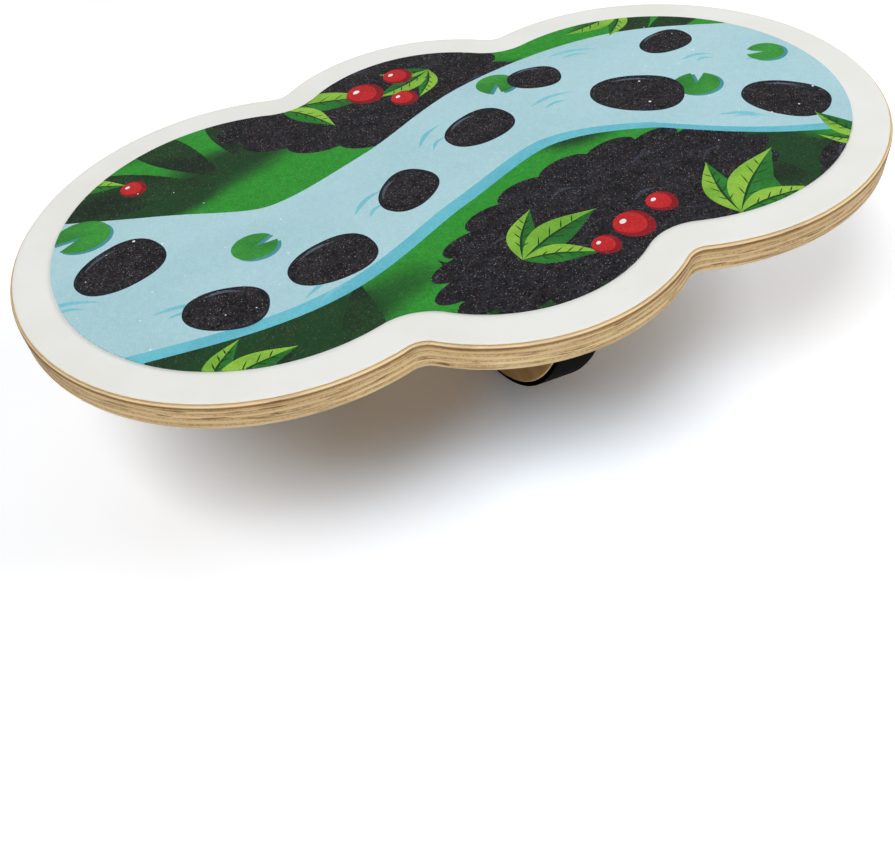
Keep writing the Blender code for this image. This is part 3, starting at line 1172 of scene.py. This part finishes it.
class Ink(Enum):
    """Inks of the print, from the first printed to the last."""

    MEADOW = PrintedGrit(
        "ink_meadow_green", srgb(46, 144, 46), srgb(26, 64, 32),
        patch=9.0, patch_layers=0.6, patch_edges=(0.46, 0.6),
    )
    BLADE = PrintedGrit("ink_blade_green", srgb(30, 62, 32), srgb(22, 40, 26), 0.3, 0.4)
    SHRUB = PrintedGrit("ink_black_grit", srgb(35, 34, 39), srgb(24, 23, 28), 0.95, 1.0, 50.0)
    SHRUB_EDGE = PrintedGrit("ink_shrub_edge", srgb(56, 62, 74), srgb(46, 50, 62), 0.4, 0.6)
    BANK = PrintedGrit("ink_stream_shade", srgb(108, 192, 208), srgb(96, 180, 200), 0.06)
    STREAM = PrintedGrit("ink_pale_blue", srgb(176, 212, 220), srgb(168, 206, 215), 0.045, 0.1, 7.0)
    RIPPLE = PrintedGrit("ink_ripple_blue", srgb(128, 199, 213), srgb(118, 192, 208), 0.06)
    PAD_SHADE = PrintedGrit("ink_pad_shade", srgb(72, 146, 160), srgb(64, 138, 152), 0.06)
    PAD = PrintedGrit("ink_pad_green", srgb(60, 150, 58), srgb(44, 124, 48), 0.12)
    STONE_LINE = PrintedGrit("ink_stone_outline", srgb(24, 34, 44), srgb(20, 28, 36), 0.15, 0.1)
    STONE = PrintedGrit("ink_stone_grit", srgb(37, 35, 39), srgb(26, 24, 28), 0.95, 1.0, 50.0)
    STONE_LIGHT = PrintedGrit("ink_stone_light", srgb(84, 92, 106), srgb(70, 78, 92), 0.35, 0.6)
    FROND = PrintedGrit("ink_leaf_green", srgb(42, 124, 44), srgb(32, 100, 38), 0.14)
    SPRIG = PrintedGrit("ink_lime_green", srgb(144, 192, 66), srgb(112, 170, 54), 0.1)
    VEIN = PrintedGrit("ink_leaf_vein", srgb(24, 66, 30), srgb(20, 56, 28), 0.15)
    BERRY_SHADE = PrintedGrit("ink_berry_shade", srgb(140, 22, 30), srgb(126, 20, 28), 0.12)
    BERRY = PrintedGrit("ink_berry_red", srgb(196, 38, 42), srgb(182, 32, 36), 0.12)
    HIGHLIGHT = PrintedGrit("ink_white", srgb(234, 238, 238), srgb(226, 232, 232), 0.05, 0.1)

    def shape(self, outline: list[Point], within: str = "") -> Region:
        """Return a shape printed in this ink."""
        return Region(self.name, outline, within)


@dataclass(frozen=True)
class GardenPrint:
    """A stream with stepping stones and floating leaves, between dark shrubs, blades, sprays and berries.

    Sizes are in millimetres and turns in degrees. Each row starts with a place along and across
    the board. After it come: the stream's width; a stone's width, height and turn; a blade's
    length, width and turn; a shrub's width, height, turn and number of scallops; a floating
    leaf's width and turn; a ripple's length and turn; a spray's turn and length; a berry's width.
    """

    border: float = 26.0 * MM
    stream: Rows = (
        (-330, 4, 160), (-225, -26, 142), (-130, -40, 112), (-38, -2, 96),
        (54, 42, 106), (150, 40, 138), (236, -2, 156), (330, -30, 166),
    )
    stones: Rows = (
        (-232, -2, 60, 44, 24), (-180, -72, 52, 38, -18), (-110, -58, 58, 40, 12),
        (-44, -12, 48, 36, 44), (26, 34, 54, 38, 20), (88, 76, 40, 30, -12),
        (142, 20, 66, 48, -30), (196, 74, 42, 30, 10), (226, -36, 60, 44, -48),
    )
    blades: Rows = (
        (-286, 66, 128, 34, 2), (-262, 108, 120, 30, -26), (-210, 160, 118, 32, -58),
        (-140, 164, 96, 26, -84), (-262, -116, 96, 30, 26), (-196, -162, 92, 26, 52),
        (-120, -164, 84, 26, 78), (-20, -170, 88, 28, 112), (214, 158, 96, 28, -118),
        (262, 118, 92, 26, -158), (246, -148, 84, 26, 122), (180, -160, 78, 24, 96),
    )
    shrubs: Rows = (
        (-28, 112, 236, 138, -12, 17), (60, -92, 262, 122, 14, 19), (228, -120, 96, 54, 38, 9),
    )
    pads: Rows = (
        (-250, 42, 38, 200), (-150, -22, 30, 20), (60, 82, 30, 250), (184, 10, 34, 60),
        (250, 24, 28, 150),
    )
    ripples: Rows = (
        (-286, -22, 42, -14), (-222, -58, 36, -12), (-136, -86, 44, 22), (-84, -22, 34, 34),
        (-20, 30, 34, 40), (68, 40, 38, 6), (110, 98, 40, -12), (174, -32, 36, -34),
        (230, 22, 34, -30), (192, 44, 26, -10),
    )
    sprays: Rows = (
        (-258, 100, 24, 64), (-92, 128, -14, 70), (24, 128, 202, 52), (190, 138, 196, 56),
        (128, -132, 42, 74), (-8, -112, 22, 66), (-206, -136, 14, 58), (246, -104, 108, 46),
    )
    berries: Rows = (
        (-30, 118, 28), (0, 130, 22), (-6, 98, 20), (66, -112, 26),
        (92, -100, 20), (42, -122, 18), (-210, 80, 18),
    )
    water_shift: Point = (-3, 8)
    water_trim: float = 2
    ripple: Span = (3.4, 4)
    ripple_echo: tuple[float, ...] = (8, -7, 0.55, 2.6, 3)
    pad_shade: Point = (1.5, -2.5)
    stone_fullness: float = 2.3
    stone_line: float = 2.4
    stone_light_foot: Point = (-0.3, 0.3)
    stone_light: tuple[float, ...] = (0.5, 2.2, 3, 6)
    tuft_feet: Rows = (
        (-0.3, 0.16), (-0.08, 0.26), (0.16, 0.2), (0.3, -0.02), (-0.2, -0.14), (0.06, -0.04),
    )
    tuft: Triple = (26, 2.4, 6)
    tuft_turn: Span = (-8, 40)
    spray_fan: Rows = ((-40, 0.72), (38, 0.76), (0, 1.0))
    leaf_slimness: float = 0.36
    leaf_bend: float = 3
    rib_width: float = 0.2
    midrib: Triple = (0.9, 1.7, 2.8)
    vein_feet: tuple[float, ...] = (0.24, 0.4, 0.56, 0.7)
    vein: Triple = (0.46, 0.9, 42)
    berry_body: Triple = (-0.07, 0.08, 0.8)
    berry_light: tuple[float, ...] = (-0.18, 0.2, 30, 0.2, 0.14)
    drops: int = 46
    drop_turn: float = math.radians(137.5)
    drop_centre: Point = (196, 30)
    drop_spread: Point = (74, 112)
    drop_sizes: Span = (0.9, 1.5)
    drop_lots: tuple[int, int] = (7, 11)
    drop_skip: int = 8

    def regions(self) -> list[Region]:
        """Draw the whole print.

        Returns:
            Every shape, each named for its ink.
        """
        shapes = [Ink.MEADOW.shape(OUTLINE.points(self.border))]
        for x, y, length, width, turn in self.blades:
            shapes.append(Ink.BLADE.shape(Stencil(x, y, turn).leaf(length, width)))
        for x, y, width, height, turn, bumps in self.shrubs:
            shapes.append(Ink.SHRUB.shape(Stencil(x, y, turn).shrub(width, height, bumps)))
            shapes += self.tufts(Stencil(x, y, turn), width, height)
        shapes.append(Ink.BANK.shape(ribbon(self.stream)))
        water = ribbon(self.stream, self.water_shift, self.water_trim)
        shapes.append(Ink.STREAM.shape(water, Ink.BANK.name))
        over, down, share, width, bend = self.ripple_echo
        for x, y, length, turn in self.ripples:
            echo = Stencil(x + over, y + down, turn).leaf(length * share, width, bend)
            shapes.append(Ink.RIPPLE.shape(Stencil(x, y, turn).leaf(length, *self.ripple)))
            shapes.append(Ink.RIPPLE.shape(echo))
        for x, y, size, turn in self.pads:
            shade = Stencil(x + self.pad_shade[0], y + self.pad_shade[1], turn)
            shapes.append(Ink.PAD_SHADE.shape(shade.lily_pad(size)))
            shapes.append(Ink.PAD.shape(Stencil(x, y, turn).lily_pad(size)))
        for x, y, width, height, turn in self.stones:
            shapes += self.stone(Stencil(x, y, turn), width, height)
        return shapes + self.leaf_sprays() + self.berry_clusters() + self.splashes()

    def stone(self, stencil: Stencil, width: float, height: float) -> list[Region]:
        """Draw a stepping stone with its outline and a lit edge.

        Args:
            stencil: Its middle and its turn.
            width: Its width.
            height: Its height.

        Returns:
            The shapes of the stone.
        """
        share, thickness, bend, tilt = self.stone_light
        foot = stencil.at(self.stone_light_foot[0] * width, self.stone_light_foot[1] * height)
        light = Stencil(*foot, stencil.turn + tilt).leaf(width * share, thickness, bend)
        body = stencil.oval(width - self.stone_line, height - self.stone_line, self.stone_fullness)
        line = stencil.oval(width, height, self.stone_fullness)
        return [Ink.STONE_LINE.shape(line), Ink.STONE.shape(body), Ink.STONE_LIGHT.shape(light)]

    def tufts(self, stencil: Stencil, width: float, height: float) -> list[Region]:
        """Draw thin lit scallops inside a shrub.

        Args:
            stencil: The shrub's middle and its turn.
            width: The shrub's width.
            height: The shrub's height.

        Returns:
            The scallops.
        """
        lean, fan = self.tuft_turn
        shapes = []
        for across, up in self.tuft_feet:
            foot = stencil.at(across * width, up * height)
            tuft = Stencil(*foot, stencil.turn + lean + fan * across).leaf(*self.tuft)
            shapes.append(Ink.SHRUB_EDGE.shape(tuft))
        return shapes

    def leaf_sprays(self) -> list[Region]:
        """Draw the sprays of three veined leaves.

        Returns:
            Their shapes.
        """
        shapes = []
        for x, y, turn, size in self.sprays:
            for fan, share in self.spray_fan:
                shapes += self.veined_leaf(Stencil(x, y, turn + fan), size * share)
        return shapes

    def veined_leaf(self, stencil: Stencil, length: float) -> list[Region]:
        """Draw a leaf with a lit half, a midrib and side veins.

        Args:
            stencil: Its stalk and its direction.
            length: Its length.

        Returns:
            The shapes of the leaf.
        """
        width = length * self.leaf_slimness
        blade = stencil.leaf(length, width, self.leaf_bend)
        rib = stencil.leaf(length, self.rib_width, self.leaf_bend)
        share, thickness, bend = self.midrib
        half = len(blade) // 2 + 1
        shapes = [
            Ink.FROND.shape(blade),
            Ink.SPRIG.shape(blade[:half] + rib[:half][-2:0:-1]),
            Ink.VEIN.shape(stencil.leaf(length * share, thickness, bend)),
        ]
        reach, thickness, fan = self.vein
        for share in self.vein_feet:
            foot = stencil.at(share * length, math.sin(math.pi * share) * self.leaf_bend)
            run = leaf_spread(share) * width * reach
            for turn in (-fan, fan):
                shapes.append(Ink.VEIN.shape(Stencil(*foot, stencil.turn + turn).leaf(run, thickness)))
        return shapes

    def berry_clusters(self) -> list[Region]:
        """Draw the berries, each with a shaded side and a highlight.

        Returns:
            Their shapes.
        """
        shapes = []
        for x, y, size in self.berries:
            across, up, body = (size * part for part in self.berry_body)
            shapes.append(Ink.BERRY_SHADE.shape(Stencil(x, y).oval(size, size)))
            shapes.append(Ink.BERRY.shape(Stencil(x + across, y + up).oval(body, body)))
            across, up, turn, width, height = self.berry_light
            spot = Stencil(x + size * across, y + size * up, turn).oval(size * width, size * height)
            shapes.append(Ink.HIGHLIGHT.shape(spot))
        return shapes

    def splashes(self) -> list[Region]:
        """Draw small white drops, spread by the golden angle near both ends.

        Returns:
            The drops.
        """
        shapes = []
        step, lots = self.drop_lots
        for i in range(self.drops):
            side = 1 if i % 2 else -1
            away = math.sqrt(i / self.drops)
            x = side * self.drop_centre[0] + self.drop_spread[0] * away * math.cos(i * self.drop_turn)
            y = side * self.drop_centre[1] + self.drop_spread[1] * away * math.sin(i * self.drop_turn)
            size = self.drop_sizes[0] + self.drop_sizes[1] * (i * step % lots / lots) ** 3
            shapes.append(Ink.HIGHLIGHT.shape(Stencil(x, y).oval(size, size)[:: self.drop_skip]))
        return shapes


# Sub-assemblies


@dataclass
class DeckBoard:
    """The plywood deck, rounded at both rims, with crossed grooves for the rockers underneath."""

    low: float
    high: float
    long_groove: float
    cross_groove: float
    edge: RoundedEdge = RoundedEdge(2.0 * MM, 6, 4.0 * MM)
    groove_width: float = 27.6 * MM
    groove_depth: float = 5.0 * MM
    ply: float = 2.0 * MM
    first_ply_line: float = 1.5 * MM

    def groove(self) -> list[Point]:
        """Follow the cross-shaped outline of the grooves.

        Returns:
            Its corners, clockwise.
        """
        side = self.groove_width / 2
        corner = [(side, self.cross_groove), (side, side), (self.long_groove, side)]
        right = corner + [(x, -y) for x, y in reversed(corner)]
        return clockwise(right + [(-x, -y) for x, y in right])

    def mesh(self) -> bpy.types.Mesh:
        """Build the deck with its grooves, about its own middle.

        Returns:
            The mesh.
        """
        work = bmesh.new()
        half = (self.high - self.low) / 2
        rings = self.edge.rings(-half, half)[1:-1]
        turns = add_walls(work, OUTLINE.points(), rings)
        work.faces.new(turns[-1])
        inner = moved_in(OUTLINE.points(), rings[0].inset + self.edge.rub_width)
        rim = [work.verts.new((x, y, -half)) for x, y in inner]
        join_turns(work, rim, turns[0])
        groove = self.groove()
        corners, faces, holders = cut_plane([Region("face", inner), Region("groove", groove)])
        flat = [work.verts.new((c.x, c.y, -half)) for c in corners]
        for face, names in zip(faces, holders):
            if names == {"face"}:
                work.faces.new([flat[i] for i in face])
        lower = [work.verts.new((x, y, -half)) for x, y in groove]
        upper = [work.verts.new((x, y, self.groove_depth - half)) for x, y in groove]
        join_turns(work, lower, upper)
        work.faces.new(upper)
        return mesh_from(work, "deck_plywood_board")

    def build(self) -> None:
        """Build and dress the deck."""
        finish = Plywood(
            name="deck_birch_plywood",
            pale=srgb(222, 192, 143),
            deep=srgb(206, 172, 120),
            edge_pale=srgb(236, 210, 162),
            edge_deep=srgb(186, 148, 94),
            glue=srgb(122, 84, 44),
            # paler colour of the rounded edges, partly a painted highlight
            arris_and_highlight=srgb(242, 220, 176),
            ply=self.ply,
            first_ply_line=self.first_ply_line,
            half_thickness=(self.high - self.low) / 2,
        )
        world = Matrix.Translation((0, 0, (self.low + self.high) / 2))
        add_piece(self.mesh(), finish.material(), "deck_board", world)


@dataclass
class FaceSheet:
    """The white facing over the deck's flat top."""

    low: float
    high: float
    inset: float = 2.0 * MM
    edge: RoundedEdge = RoundedEdge(0.2 * MM, 2, 2.5 * MM)

    def build(self) -> None:
        """Build and dress the facing."""
        mesh = slab("white_facing_sheet", OUTLINE.points(self.inset), self.edge.rings(self.low, self.high))
        add_piece(mesh, WhiteFacing().material(), "white_face_sheet", Matrix.Identity(4))


@dataclass
class GripSheet:
    """The gritty sheet whose top carries the print."""

    low: float
    high: float
    pattern: GardenPrint = GardenPrint()

    def mesh(self) -> bpy.types.Mesh:
        """Build the sheet, with one material for each ink.

        Returns:
            The mesh.
        """
        regions = self.pattern.regions()
        corners, faces, holders = cut_plane(regions)
        within = {region.name: region.within for region in regions if region.within}
        needs = [{ink.name, within.get(ink.name, ink.name)} for ink in Ink]
        work = bmesh.new()
        points = [work.verts.new((c.x, c.y, self.high)) for c in corners]
        for face, names in zip(faces, holders):
            if Ink.MEADOW.name in names:
                shown = [i for i, need in enumerate(needs) if need <= names]
                work.faces.new([points[i] for i in face]).material_index = shown[-1]
        bmesh.ops.delete(work, geom=[v for v in work.verts if not v.link_faces], context="VERTS")
        self.add_thickness(work)
        mesh = mesh_from(work, "printed_grip_sheet")
        for ink in Ink:
            mesh.materials.append(ink.value.material())
        return mesh

    def add_thickness(self, work: bmesh.types.BMesh) -> None:
        """Draw the sheet's rim down and close it underneath.

        Args:
            work: The mesh being made.
        """
        rim = [e for e in work.edges if e.is_boundary]
        walls = bmesh.ops.extrude_edge_only(work, edges=rim)["geom"]
        for corner in walls:
            if isinstance(corner, bmesh.types.BMVert):
                corner.co.z = self.low
        edges = [e for e in walls if isinstance(e, bmesh.types.BMEdge)]
        lower = [e for e in edges if all(abs(v.co.z - self.low) < SAME_HEIGHT for v in e.verts)]
        bmesh.ops.holes_fill(work, edges=lower, sides=0)

    def build(self) -> None:
        """Build and dress the sheet."""
        mesh = self.mesh()
        add_piece(mesh, mesh.materials[0], "grip_sheet", Matrix.Identity(4))


@dataclass
class Rocker:
    """One plywood rocker with a slot for the other, and the rubber on its curved edge."""

    name: str
    half_span: float
    turn: float
    drop: float
    top: float
    slot_from_top: bool
    thickness: float = 27.0 * MM
    edge: RoundedEdge = RoundedEdge(1.0 * MM, 3, 2.5 * MM)
    ply: float = 2.25 * MM
    tread: float = 3.0 * MM
    tread_edge: RoundedEdge = RoundedEdge(0.5 * MM, 3, 1.5 * MM)
    gap: float = 0.3 * MM
    facets: int = 123

    def radius(self) -> float:
        """Return the radius of the tread's outer face."""
        return (self.half_span**2 + self.drop**2) / (2 * self.drop)

    def end_angle(self) -> float:
        """Return the angle at which the tread ends under the deck."""
        return math.acos((self.radius() - self.drop + self.gap) / (self.radius() - self.tread))

    def reach(self) -> float:
        """Return how far from the middle the rocker ends, with a gap beyond it."""
        return self.curve(self.tread + self.gap, 0.0, self.end_angle())[-1][0] + self.gap

    def curve(self, depth: float, start: float, end: float) -> list[Point]:
        """Follow the curved edge.

        Args:
            depth: Distance inside the tread's outer face.
            start: Angle of the first point.
            end: Angle of the last point.

        Returns:
            The points.
        """
        radius = self.radius() - depth
        angles = [start + (end - start) * i / self.facets for i in range(self.facets + 1)]
        return [(radius * math.sin(a), self.radius() - radius * math.cos(a)) for a in angles]

    def outline(self) -> list[Point]:
        """Follow the rocker's outline with its slot, which reaches half its height.

        Returns:
            Its points.
        """
        end = self.end_angle()
        curve = self.curve(self.tread + self.gap, -end, end)
        side = self.thickness / 2 + self.gap
        middle = (self.tread + self.gap + self.top) / 2
        if self.slot_from_top:
            level = middle - self.gap / 2
            notch = [(side, self.top), (side, level), (-side, level), (-side, self.top)]
            return curve + [(curve[-1][0], self.top)] + notch + [(curve[0][0], self.top)]
        level = middle + self.gap / 2
        left = [p for p in curve if p[0] < -side]
        right = [p for p in curve if p[0] > side]
        foot = self.radius() - math.sqrt((self.radius() - self.tread - self.gap) ** 2 - side**2)
        notch = [(-side, foot), (-side, level), (side, level), (side, foot)]
        return left + notch + right + [(right[-1][0], self.top), (left[0][0], self.top)]

    def board(self) -> None:
        """Build and dress the plywood."""
        half = self.thickness / 2
        mesh = slab(self.name + "_plywood_rib", self.outline(), self.edge.rings(-half, half))
        finish = Plywood(
            name=self.name + "_birch_plywood",
            pale=srgb(204, 170, 117),
            deep=srgb(184, 146, 92),
            edge_pale=srgb(212, 182, 134),
            edge_deep=srgb(160, 123, 77),
            glue=srgb(116, 80, 44),
            # paler colour of the rounded edges, partly a painted highlight
            arris_and_highlight=srgb(214, 182, 132),
            ply=self.ply,
            first_ply_line=self.ply,
            half_thickness=half,
        )
        add_piece(mesh, finish.material(), self.name, upright(self.turn))

    def strip(self, node: str, start: float, end: float) -> None:
        """Build and dress one rubber strip on the curved edge.

        Args:
            node: The solid that it stands for.
            start: Angle of its first end.
            end: Angle of its other end.
        """
        outline = self.curve(0.0, start, end) + self.curve(self.tread, start, end)[::-1]
        half = self.thickness / 2 - self.edge.radius
        mesh = slab(node + "_rubber", outline, self.tread_edge.rings(-half, half))
        finish = Rubber(node + "_black_rubber")
        add_piece(mesh, finish.material(), node, upright(self.turn))


@dataclass
class EndStop:
    """A curved rubber stop with round ends under one tip of the deck."""

    node: str
    turn: float
    low: float
    high: float
    width: float = 15.0 * MM
    margin: float = 3.5 * MM
    half_angle: float = math.radians(22)
    step: float = math.radians(1.5)
    edge: RoundedEdge = RoundedEdge(0.8 * MM, 4, 1.5 * MM)
    dust: float = 0.14

    def outline(self) -> list[Point]:
        """Follow the band with its round ends.

        Returns:
            Its points.
        """
        centre = (OUTLINE.end_offset, 0.0)
        half = self.width / 2
        middle = OUTLINE.end_radius - self.margin - half
        limit, end_step = self.half_angle, 6 * self.step
        tip = (centre[0] + middle * math.cos(limit), middle * math.sin(limit))
        points = arc(centre, middle + half, -limit, limit, self.step)
        points += arc(tip, half, limit, limit + math.pi, end_step)[1:]
        points += arc(centre, middle - half, limit, -limit, self.step)[1:]
        points += arc((tip[0], -tip[1]), half, math.pi - limit, math.tau - limit, end_step)[1:-1]
        return points

    def build(self) -> None:
        """Build and dress the stop."""
        mesh = slab(self.node + "_rubber_pad", self.outline(), self.edge.rings(self.low, self.high))
        finish = Rubber(self.node + "_black_rubber", dust=self.dust)
        world = Matrix.Rotation(self.turn, 4, "Z")
        add_piece(mesh, finish.material(), self.node, world)


# Studio


@dataclass
class Softbox:
    """A soft square lamp aimed at a point."""

    name: str
    place: Triple
    size: float
    power: float
    aim: Triple = (0.0, 0.0, 0.1)

    def build(self) -> None:
        """Hang the lamp."""
        lamp = bpy.data.lights.new(self.name, "AREA")
        lamp.shape = "SQUARE"
        lamp.size = self.size
        lamp.energy = self.power
        holder = bpy.data.objects.new(self.name, lamp)
        bpy.context.scene.collection.objects.link(holder)
        holder.location = self.place
        holder.rotation_euler = (Vector(self.aim) - Vector(self.place)).to_track_quat("-Z", "Y").to_euler()


@dataclass
class Studio:
    """Pale floor, soft lamps, even surroundings and the camera."""

    camera_place: Triple = (-0.18959, -0.52564, 0.50385)
    camera_turn: Triple = (41.642, 4.765, -21.859)
    lens: float = 38.66
    sensor: float = 36.0
    floor_size: float = 14.0
    floor_white: Colour = (0.52, 0.52, 0.53)
    floor_seen: Colour = (1.28, 1.3, 1.33)
    # cooler floor colour near the middle, where the board's shadow falls: a painted tint of the shadow
    floor_shadow_tint: Colour = (1.14, 1.28, 1.45)
    floor_clouds: Clouds = Clouds((3.0, 3.0, 3.0), 2.0, (0.2, 0.8), (0.985, 1.0))
    floor_roughness: float = 0.9
    shadow_tint_distance: Span = (0.3, 0.08)
    backdrop_distance: Span = (0.36, 0.8)
    surroundings: float = 0.05
    lamps: tuple[Softbox, ...] = (
        Softbox("softbox_above", (-1.2, -0.65, 2.5), 1.75, 50.0),
        Softbox("softbox_right", (1.45, -0.33, 1.23), 1.0, 16.5),
        Softbox("softbox_behind", (-0.3, 1.7, 1.25), 0.9, 7.0),
        Softbox("softbox_far_right", (0.8, 1.4, 1.13), 1.0, 3.4),
        Softbox("softbox_front", (-0.2, -2.4, 0.24), 0.5, 21.0),
    )

    def floor_material(self) -> bpy.types.Material:
        """Lay out a matt white floor that turns into the white backdrop far off.

        Returns:
            The material, which can't be seen from below.
        """
        material, bench, shader = new_material("studio_floor_white")
        place = bench.place()
        direct = bench.add("ShaderNodeLightPath")["Is Camera Ray"]
        distance = bench.add("ShaderNodeVectorMath", {0: place}, operation="LENGTH")["Value"]
        cloud = bench.clouds(place, self.floor_clouds)
        # painted shadow tint: cooler floor colour near the middle, where the board's shadow falls
        under = bench.span(distance, *self.shadow_tint_distance)
        black = (0.0, 0.0, 0.0)
        plain = bench.blend(cloud, black, self.floor_white)
        seen = bench.blend(cloud, black, bench.blend(under, self.floor_seen, self.floor_shadow_tint))
        bench.feed(shader.inputs["Base Color"], bench.blend(direct, plain, seen))
        bench.feed(shader.inputs["Roughness"], self.floor_roughness)
        bench.feed(shader.inputs["Specular IOR Level"], 0.0)
        far = bench.times(bench.span(distance, *self.backdrop_distance), direct)
        backdrop = bench.add("ShaderNodeEmission")[0]
        upper = bench.add("ShaderNodeMixShader", {0: far, 1: shader.outputs[0], 2: backdrop})[0]
        clear = bench.add("ShaderNodeBsdfTransparent")[0]
        below = bench.geometry("Backfacing")
        sides = bench.add("ShaderNodeMixShader", {0: below, 1: upper, 2: clear})[0]
        bench.feed(material.node_tree.nodes["Material Output"].inputs["Surface"], sides)
        return material

    def floor(self) -> None:
        """Lay the floor."""
        work = bmesh.new()
        bmesh.ops.create_grid(work, x_segments=1, y_segments=1, size=self.floor_size / 2)
        mesh = bpy.data.meshes.new("studio_floor")
        work.to_mesh(mesh)
        work.free()
        mesh.materials.append(self.floor_material())
        floor = bpy.data.objects.new("studio_floor", mesh)
        bpy.context.scene.collection.objects.link(floor)

    def world(self) -> None:
        """Light the board evenly from all round, and show white behind it."""
        world = bpy.data.worlds.new("studio_surroundings")
        world.use_nodes = True
        bpy.context.scene.world = world
        bench = Bench(world.node_tree)
        backdrop = world.node_tree.nodes["Background"].inputs
        way = bench.add("ShaderNodeLightPath")
        seen = bench.math("MAXIMUM", way["Is Camera Ray"], way["Is Transmission Ray"])
        bench.feed(backdrop["Color"], (1.0, 1.0, 1.0))
        bench.feed(backdrop["Strength"], bench.math("MAXIMUM", seen, self.surroundings))

    def camera(self) -> None:
        """Set up the camera."""
        data = bpy.data.cameras.new("studio_camera")
        data.sensor_width = self.sensor
        data.lens = self.lens
        camera = bpy.data.objects.new("studio_camera", data)
        bpy.context.scene.collection.objects.link(camera)
        camera.location = self.camera_place
        camera.rotation_euler = Euler([math.radians(a) for a in self.camera_turn])
        bpy.context.scene.camera = camera

    def build(self) -> None:
        """Set up the whole studio."""
        bpy.context.scene.view_settings.view_transform = "Standard"
        self.floor()
        self.world()
        self.camera()
        for lamp in self.lamps:
            lamp.build()


# Board


@dataclass
class WobbleBoard:
    """The whole board, fitted to the solids of the frame."""

    long_half_span: float = 258.0 * MM
    cross_half_span: float = 174.0 * MM

    def rockers(self) -> tuple[Rocker, Rocker]:
        """Plan the rockers, which reach down from the deck's underside to the floor.

        Returns:
            The long and the cross rocker.
        """
        drop, top = heights("deck_board")[0], heights("long_rocker")[1]
        long_rocker = Rocker("long_rocker", self.long_half_span, 0.0, drop, top, True)
        return long_rocker, Rocker("cross_rocker", self.cross_half_span, math.pi / 2, drop, top, False)

    def treads(self, long_rocker: Rocker, cross_rocker: Rocker) -> None:
        """Lay the rubber strips on both rockers.

        Args:
            long_rocker: The rocker whose strip is whole.
            cross_rocker: The rocker whose strip is in two halves.
        """
        end = long_rocker.end_angle()
        long_rocker.strip("long_tread", -end, end)
        inner = cross_rocker.radius() - cross_rocker.tread
        start = math.asin((cross_rocker.thickness / 2 + cross_rocker.gap) / inner)
        end = cross_rocker.end_angle()
        cross_rocker.strip("cross_tread_rear", start, end)
        cross_rocker.strip("cross_tread_front", -end, -start)

    def screws(self) -> None:
        """Dress the hidden screws."""
        plate = ZincPlate().material()
        for name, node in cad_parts.items():
            if "_screw_" in name:
                node.data.materials.clear()
                node.data.materials.append(plate)
                log.info("%s: dressed in zinc", name)

    def build(self) -> None:
        """Build every piece, from the rockers up to the print."""
        long_rocker, cross_rocker = self.rockers()
        long_rocker.board()
        cross_rocker.board()
        self.treads(long_rocker, cross_rocker)
        EndStop("end_stop_right", 0.0, *heights("end_stop_right")).build()
        EndStop("end_stop_left", math.pi, *heights("end_stop_left")).build()
        self.screws()
        DeckBoard(*heights("deck_board"), long_rocker.reach(), cross_rocker.reach()).build()
        FaceSheet(*heights("white_face_sheet")).build()
        GripSheet(*heights("grip_sheet")).build()


def main() -> None:
    """Build the board and its studio."""
    logging.basicConfig(level=logging.INFO, format="%(name)s: %(message)s")
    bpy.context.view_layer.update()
    WobbleBoard().build()
    Studio().build()
    bpy.context.view_layer.update()


if __name__ == "__main__":
    main()
